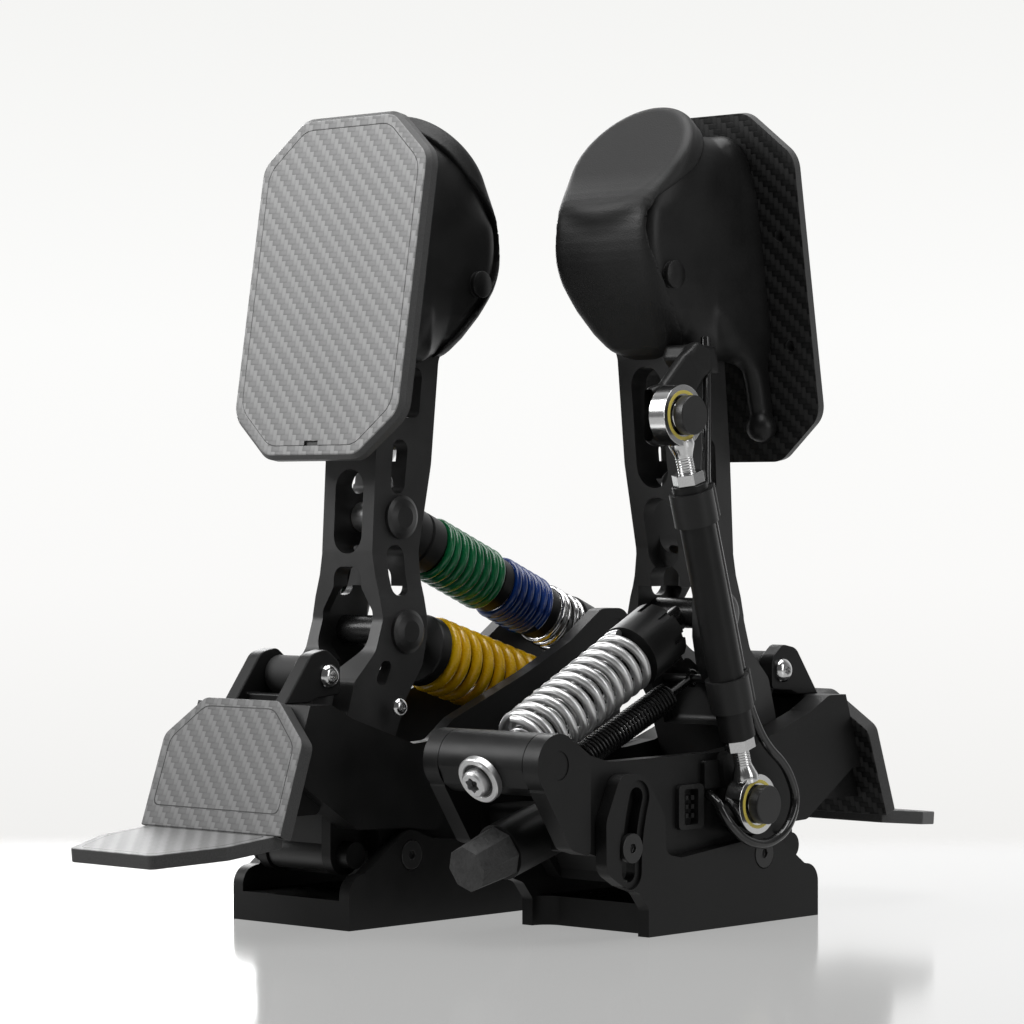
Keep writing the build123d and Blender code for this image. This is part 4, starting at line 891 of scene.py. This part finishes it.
def pod_body(x, y, z):
    """Whole outer form of the pod."""
    edge = 7.5 + 5 * (1 - width_share(y, z))
    main = smooth_high(outline_distance(y, z, POD_SIDE), np.abs(x) - pod_half_width(y, z), edge)
    depth = (POD_FACE[0] - y) * POD_AXIS[0] + (POD_FACE[1] - z) * POD_AXIS[1]
    rise = (z - POD_FACE[1]) * POD_AXIS[0] - (y - POD_FACE[0]) * POD_AXIS[1]
    reach = np.sqrt(x * x + rise * rise)
    taper = BARREL_TAPER * np.maximum(depth - TAPER_START, 0)
    barrel = smooth_high(reach - POD_RADIUS + taper, -depth, POD_RIM)
    barrel = smooth_high(barrel, depth - BARREL_DEPTH, 8)
    return smooth_low(main, barrel, 7)


def round_ball(x, y, z, centre, radius):
    return np.sqrt((x - centre[0]) ** 2 + (y - centre[1]) ** 2 + (z - centre[2]) ** 2) - radius


def channel(x, y, z):
    """Room for the arm's head."""
    return np.maximum(outline_distance(y, z, CHANNEL_SIDE), np.abs(x) - CHANNEL_HALF)


def side_plate(x, y, z, corners, low, high, edge):
    """Plate between two stations across the pedal, from its side outline."""
    return smooth_high(outline_distance(y, z, corners), np.maximum(low - x, x - high), edge)


def pod_shell(x, y, z):
    """Shell under the cap, with ribs, their ball ends, the screw boss and the tie rod's lug."""
    body = pod_body(x, y, z) + CAP_PROUD
    mirror = np.abs(x)
    rib = side_plate(mirror, y, z, RIB_SIDE, RIB_NEAR, RIB_FAR, 5.0)
    body = smooth_low(body, rib, 5.0)
    body = smooth_low(body, round_ball(mirror, y, z, RIB_BALL, BALL_END_RADIUS), 1.2)
    body = smooth_low(body, round_ball(mirror, y, z, SCREW_BOSS, BALL_END_RADIUS), 2.0)
    body = smooth_low(body, side_plate(x, y, z, LUG_BLOCK_SIDE, -LUG_FAR, -LUG_ROOT, 2.0), 2.0)
    eye = np.sqrt((y - ROD_HIGH[0]) ** 2 + (z - ROD_HIGH[1]) ** 2) - LUG_RADIUS
    lug = np.minimum(outline_distance(y, z, LUG_SIDE), eye)
    lug = smooth_high(lug, np.maximum(-LUG_FAR - x, x + LUG_NEAR), 1.4)
    body = smooth_low(body, lug, 1.5)
    body = smooth_high(body, -channel(x, y, z), 0.8)
    return smooth_high(body, plate_back(z) + 0.05 - y, 0.3)


def pod_cap(x, y, z):
    """Cap that wraps the rear of the pod, a little proud of the shell, with a lip along its edge."""
    body = pod_body(x, y, z)
    cap = smooth_high(body, outline_distance(y, z, CAP_SIDE), 0.9)
    return np.maximum(cap, -np.maximum(body + CAP_WALL, channel(x, y, z)))


def make_pods():
    """Shell and cap of both pods, from the same two fields."""
    shell = surface(pod_shell, *SHELL_ROOM, SHELL_GRID)
    cap = surface(pod_cap, *CAP_ROOM, CAP_GRID)
    for pedal in PEDALS:
        for label, node, form, finish_name in (
            ("pod_smooth_shell", "pod_shell", shell, "shell"),
            ("pod_round_cap", "pod_cap", cap, "cap"),
        ):
            name = f"{pedal.name}_{label}"
            material = MATERIALS[finish_name]
            shape = piece(name, pedal, f"{pedal.name}_pod_body", *form, material, "black_plastic", 50)
            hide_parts(f"{pedal.name}_{node}")


make_pods()


# Small pieces at the joints

BALL_RADIUS = 6.7
BALL_STEPS = 5
BALL_STEP = 0.9
RING_HALF = 3.5
LINER_INNER = 7.6
LINER_OUTER = 8.8
LINER_PROUD = 0.15
THREAD_START = 9.5
THREAD_END = 21.5
THREAD_WIRE = {"outer": 3.25, "wire": 0.7, "turns": 12, "steps": 24, "sides": 6, "closed": 0.25}
SCREW_RISE = 0.5
# Dome head and its socket: shares of the height and of the radius
DOME_SHARES = ((0, 0.96), (0.3, 1.0), (0.62, 0.9), (0.9, 0.66), (1.0, 0.5))
SOCKET_SHARES = ((1.0, 0.34), (0.35, 0.32))
SOCKET_FLOOR_SHARE = 0.3
STOP_SCREW_PLANE = 16.0
STOP_SCREW_RADIUS = 4.4
STOP_SCREW_HEIGHT = 2.6
SIDE_SCREW_PLANE = 24.7
SIDE_SCREW_RADIUS = 3.4
SIDE_SCREW_HEIGHT = 2.0
# Plug over the pod's pivot, and washer and screw behind the lower spring unit: (distance, radius)
PLUG_ROWS = ((-1.0, 0), (-1.0, 5.0), (0.25, 5.0), (0.5, 4.7), (0.5, 0))
WASHER_ROWS = ((0.2, 6.2), (0.2, 8.6), (2.6, 8.6), (3.0, 8.2), (3.0, 6.6), (2.5, 6.2), (0.2, 6.2))
END_SCREW_ROWS = ((2.0, 0), (2.0, 4.9), (5.4, 4.9), (6.0, 4.3), (6.0, 2.6, star), (3.4, 2.5, star), (3.3, 0))
# Black strips laid in the heel plates' front faces where the grooves round the inlays are: painted shade.
GROOVE_WIDTH = 0.4
GROOVE_RISE = 0.03
GROOVE_ROOT = -0.2
GROOVE_INSET = 3.0
HEEL_FACE = [(-35.5, 1.5), (35.5, 1.5), (35.0, 31.0), (19.0, 45.5), (-19.0, 45.5), (-35.0, 31.0)]
REST_FACE = [(-33.0, -1.5), (-33.0, -26.0), (-21.0, -50.5), (21.0, -50.5), (33.0, -26.0), (33.0, -1.5)]


def dome_screw(pedal, name, body, x, place, way, radius, height):
    """Round screw head with a six-lobed socket, standing outward from x."""
    rows = [(-SCREW_RISE, 0), (-SCREW_RISE, radius * DOME_SHARES[0][1])]
    rows += [(height * rise, radius * reach) for rise, reach in DOME_SHARES]
    rows += [(height * rise, radius * reach, star) for rise, reach in SOCKET_SHARES]
    rows.append((height * SOCKET_FLOOR_SHARE, 0))
    work = turned(rows, cross_frame(x, place, way))
    return piece(name, pedal, body, *work, MATERIALS["zinc"], "zinc_steel", 40)


def make_ball_joints(pedal):
    """Bright ball and yellow liner in each rod end, and threads between ring and nut."""
    rod_body = BODIES[f"{pedal.name}_rod_ends"]
    run = Vector((ROD_HIGH[0] - ROD_LOW[0], ROD_HIGH[1] - ROD_LOW[1])).normalized()
    face = RING_HALF + LINER_PROUD
    steps = [k * BALL_STEP for k in range(-BALL_STEPS, BALL_STEPS + 1)]
    ball_rows = [(step, math.sqrt(BALL_RADIUS ** 2 - step ** 2)) for step in steps]
    for label, bolt, place, way in (("low", "lower", ROD_LOW, 1), ("high", "upper", ROD_HIGH, -1)):
        name = f"{pedal.name}_{label}"
        eye = cross_frame(ROD_PLANE, place, -1)
        liner = turned([
            (-face, LINER_INNER), (-face, LINER_OUTER), (face, LINER_OUTER),
            (face, LINER_INNER), (-face, LINER_INNER),
        ], eye)
        piece(f"{name}_liner", pedal, rod_body, *liner, MATERIALS["liner"], "zinc_steel", 30)
        ball = turned([(steps[0], 0), *ball_rows, (steps[-1], 0)], eye)
        bolt_body = BODIES[f"{pedal.name}_{bolt}_ball_bolt"]
        piece(f"{name}_ball", pedal, bolt_body, *ball, MATERIALS["chrome"], "bright_chrome", 40)
        start = (place[0] + way * run.x * THREAD_START, place[1] + way * run.y * THREAD_START)
        end = (place[0] + way * run.x * THREAD_END, place[1] + way * run.y * THREAD_END)
        length = THREAD_END - THREAD_START
        thread = coil(run_frame(ROD_PLANE, start, end), 0, length, **THREAD_WIRE)
        piece(f"{name}_thread", pedal, rod_body, *thread, MATERIALS["zinc"], "zinc_steel", 60)


def inset(corners, distance):
    """Closed outline drawn in by a distance; corners run counter-clockwise."""
    points = [Vector(c) for c in corners]
    moved = []
    for before, point, after in zip(points[-1:] + points[:-1], points, points[1:] + points[:1]):
        first = (point - before).normalized()
        second = (after - point).normalized()
        inward = Vector((-first.y - second.y, first.x + second.x))
        inward /= inward.length
        moved.append(point + inward * distance / max(0.3, inward.dot(Vector((-first.y, first.x)))))
    return moved


def soft_corners(corners, reach=3.0, steps=4):
    """Closed outline with each corner replaced by a short curve."""
    curve = []
    for before, point, after in zip(corners[-1:] + corners[:-1], corners, corners[1:] + corners[:1]):
        first = point + (before - point).normalized() * reach
        last = point + (after - point).normalized() * reach
        for step in range(steps + 1):
            share = step / steps
            curve.append(first * (1 - share) ** 2 + point * 2 * share * (1 - share) + last * share ** 2)
    return curve


def groove_shade_strip(name, pedal, start, way, corners):
    """Fine black strip along a plate's edge, laid in its front face as painted shade where the groove round the
    inlay is.
    """
    up = Vector((0, way[0], way[1]))
    out = Vector((0, -way[1], way[0]))
    origin = Vector((0, *start))
    rounded = soft_corners(inset(corners, GROOVE_INSET))
    inner = soft_corners(inset(corners, GROOVE_INSET + GROOVE_WIDTH))
    verts = []
    faces = []
    count = len(rounded)
    rings = ((rounded, GROOVE_ROOT), (rounded, GROOVE_RISE), (inner, GROOVE_RISE), (inner, GROOVE_ROOT))
    for ring, rise in rings:
        verts += [origin + Vector((u, 0, 0)) + up * v + out * rise for u, v in ring]
    for row in range(len(rings)):
        low, high = row * count, (row + 1) % len(rings) * count
        faces += [(low + k, low + (k + 1) % count, high + (k + 1) % count, high + k) for k in range(count)]
    body = BODIES[f"{pedal.name}_heel_plate"]
    piece(name, pedal, body, verts, faces, MATERIALS["plastic"], "black_plastic", 40)


def make_heel_lines(pedal):
    """Painted-shade strips in the grooves round the inlays of the upright heel plate and of the heel rest."""
    up = Vector((HEEL_HEAD[0] - HEEL_FOOT[0], HEEL_HEAD[1] - HEEL_FOOT[1])).normalized()
    groove_shade_strip(f"{pedal.name}_heel_line", pedal, HEEL_FOOT, up, HEEL_FACE)
    out = Vector((HEEL_TOE[0] - HEEL_BEND[0], HEEL_TOE[1] - HEEL_BEND[1])).normalized()
    groove_shade_strip(f"{pedal.name}_rest_line", pedal, HEEL_BEND, -out, REST_FACE)


def make_end_screw(pedal, pin, seat):
    """Silver washer and socket screw at the rear end of the lower spring unit."""
    station = span(pin, seat) + BARREL_FLAT
    run = run_frame(0, pin, seat)
    body = BODIES[f"{pedal.name}_plunger"]
    for label, rows in (("end_washer", WASHER_ROWS), ("end_screw", END_SCREW_ROWS)):
        work = turned([(station + distance, *rest) for distance, *rest in rows], run)
        piece(f"{pedal.name}_{label}", pedal, body, *work, MATERIALS["satin"], "zinc_steel", 40)


def make_details(pedal):
    """Screws of the stop, the pod's pivot plugs, the side screw and the pieces at the joints."""
    name = pedal.name
    stop = BODIES[f"{name}_stop_bracket"]
    pod = BODIES[f"{name}_pod_shell"]
    for side, way in (("right", 1), ("left", -1)):
        x = way * STOP_SCREW_PLANE
        screw = f"{name}_stop_screw_{side}"
        dome_screw(pedal, screw, stop, x, STOP_AXLE, way, STOP_SCREW_RADIUS, STOP_SCREW_HEIGHT)
        plug = turned(PLUG_ROWS, cross_frame(way * POD_HALF, POD_PIVOT, way))
        piece(f"{name}_pod_plug_{side}", pedal, pod, *plug, MATERIALS["shell"], "black_plastic", 40)
    screw = f"{name}_side_screw"
    housing = BODIES[f"{name}_housing"]
    dome_screw(pedal, screw, housing, SIDE_SCREW_PLANE, SIDE_SCREW, 1, SIDE_SCREW_RADIUS, SIDE_SCREW_HEIGHT)
    pin, seat = (BRAKE_PIN, BRAKE_SEAT) if pedal is BRAKE else (THROTTLE_PIN, THROTTLE_SEAT)
    make_end_screw(pedal, pin, seat)
    make_ball_joints(pedal)
    make_heel_lines(pedal)


for each in PEDALS:
    make_details(each)


# Stage, light and camera, in metres

VIEW_WAY = (-0.6743, 0.7384)
CAMERA_PLACE = (0.8913, -0.9843, 0.150)
FLOOR_RADIUS = 2.0
FLOOR_COLOUR = (0.13, 0.13, 0.129, 1)
FLOOR_GLOW = (1.0, 1.0, 0.99, 1)
FLOOR_GLOW_STRENGTH = 0.35
FLOOR_ROUGHNESS = 0.12
FADE_START = 0.24
FADE_END = 0.34
# Backdrop tones by height, and the light that it gives by how far behind the object it is
BACKDROP = [
    (0.2, (0.85, 0.845, 0.83)), (0.45, (0.96, 0.955, 0.945)),
    (0.62, (0.975, 0.975, 0.965)), (0.9, (0.90, 0.90, 0.885)),
]
BACKDROP_GLOW = [(0.25, 0.10), (0.6, 0.25), (0.85, 0.85), (1.0, 1.0)]
BACKDROP_STRENGTH = 0.9
LIGHT_TARGET = (0, 0, 0.15)
# Soft boxes: name, place, width and height, power in watts
SOFT_BOXES = (
    ("box_left", (-0.7, -0.95, 0.85), (0.7, 0.7), 13),
    ("box_top", (0.1, 0.0, 1.1), (0.9, 0.9), 11),
    ("box_rear_left", (-0.9, 0.5, 0.5), (0.5, 0.8), 6),
    ("box_right", (1.1, 0.1, 0.5), (0.4, 0.8), 2.5),
)


def make_floor():
    """Glossy white table top whose far edge fades into the backdrop."""
    bpy.ops.mesh.primitive_circle_add(vertices=128, radius=FLOOR_RADIUS, fill_type="NGON", location=(0, 0, 0))
    floor = bpy.context.object
    floor.name = "studio_floor"
    material, tree, shader = new_material("studio_white")
    shader.inputs["Base Color"].default_value = FLOOR_COLOUR
    shader.inputs["Emission Color"].default_value = FLOOR_GLOW
    shader.inputs["Emission Strength"].default_value = FLOOR_GLOW_STRENGTH
    shader.inputs["Roughness"].default_value = FLOOR_ROUGHNESS
    split = tree.nodes.new("ShaderNodeSeparateXYZ")
    tree.links.new(position(tree), split.inputs[0])
    x, y = (Signal(tree, split.outputs[k]) for k in (0, 1))
    reach = x * VIEW_WAY[0] + y * VIEW_WAY[1]
    clear = tree.nodes.new("ShaderNodeBsdfTransparent")
    mix = tree.nodes.new("ShaderNodeMixShader")
    fade = tree.nodes.new("ShaderNodeMapRange")
    fade.interpolation_type = "SMOOTHSTEP"
    fade.inputs["From Min"].default_value = FADE_START
    fade.inputs["From Max"].default_value = FADE_END
    tree.links.new(reach.socket, fade.inputs["Value"])
    tree.links.new(fade.outputs[0], mix.inputs[0])
    tree.links.new(shader.outputs[0], mix.inputs[1])
    tree.links.new(clear.outputs[0], mix.inputs[2])
    tree.links.new(mix.outputs[0], tree.nodes["Material Output"].inputs["Surface"])
    floor.data.materials.append(material)


def area_light(name, place, target, size, power):
    lamp = bpy.data.lights.new(name, "AREA")
    lamp.shape = "RECTANGLE"
    lamp.size, lamp.size_y = size
    lamp.energy = power
    shape = bpy.data.objects.new(name, lamp)
    shape.location = place
    shape.rotation_euler = (Vector(target) - Vector(place)).to_track_quat("-Z", "Y").to_euler()
    bpy.context.scene.collection.objects.link(shape)


def make_light():
    """Pale backdrop, bright behind the object, and soft boxes round and above it."""
    world = bpy.data.worlds.new("studio")
    bpy.context.scene.world = world
    world.use_nodes = True
    tree = world.node_tree
    tree.nodes.clear()
    out = tree.nodes.new("ShaderNodeOutputWorld")
    ray = tree.nodes.new("ShaderNodeLightPath")
    mix = tree.nodes.new("ShaderNodeMixShader")
    shown = tree.nodes.new("ShaderNodeBackground")
    felt = tree.nodes.new("ShaderNodeBackground")
    coordinate = tree.nodes.new("ShaderNodeTexCoord")
    split = tree.nodes.new("ShaderNodeSeparateXYZ")
    tree.links.new(coordinate.outputs["Generated"], split.inputs[0])
    x, y, z = (Signal(tree, socket) for socket in split.outputs)
    tone = ramp(tree, z * 2.5 + 0.5, BACKDROP)
    tree.links.new(tone, shown.inputs[0])
    behind = x * VIEW_WAY[0] + y * VIEW_WAY[1]
    glow = ramp(tree, behind * 0.5 + 0.5, BACKDROP_GLOW)
    tree.links.new(glow, felt.inputs[0])
    felt.inputs[1].default_value = BACKDROP_STRENGTH
    tree.links.new(ray.outputs["Is Camera Ray"], mix.inputs[0])
    tree.links.new(felt.outputs[0], mix.inputs[1])
    tree.links.new(shown.outputs[0], mix.inputs[2])
    tree.links.new(mix.outputs[0], out.inputs[0])
    for name, place, size, power in SOFT_BOXES:
        area_light(name, place, LIGHT_TARGET, size, power)


def make_camera():
    """Camera at the photograph's view: level, 150 mm above the floor."""
    focal_pixels = 3600.0
    frame_pixels = 1024.0
    horizon_pixel = 510.0
    camera = bpy.data.cameras.new("camera")
    camera.sensor_width = 36.0
    camera.lens = focal_pixels / frame_pixels * camera.sensor_width
    camera.shift_y = (horizon_pixel - frame_pixels / 2) / frame_pixels
    shape = bpy.data.objects.new("camera", camera)
    shape.location = CAMERA_PLACE
    shape.rotation_euler = Vector((*VIEW_WAY, 0)).to_track_quat("-Z", "Y").to_euler()
    bpy.context.scene.collection.objects.link(shape)
    bpy.context.scene.camera = shape


make_floor()
make_light()
make_camera()
bpy.context.scene.view_settings.view_transform = "Standard"
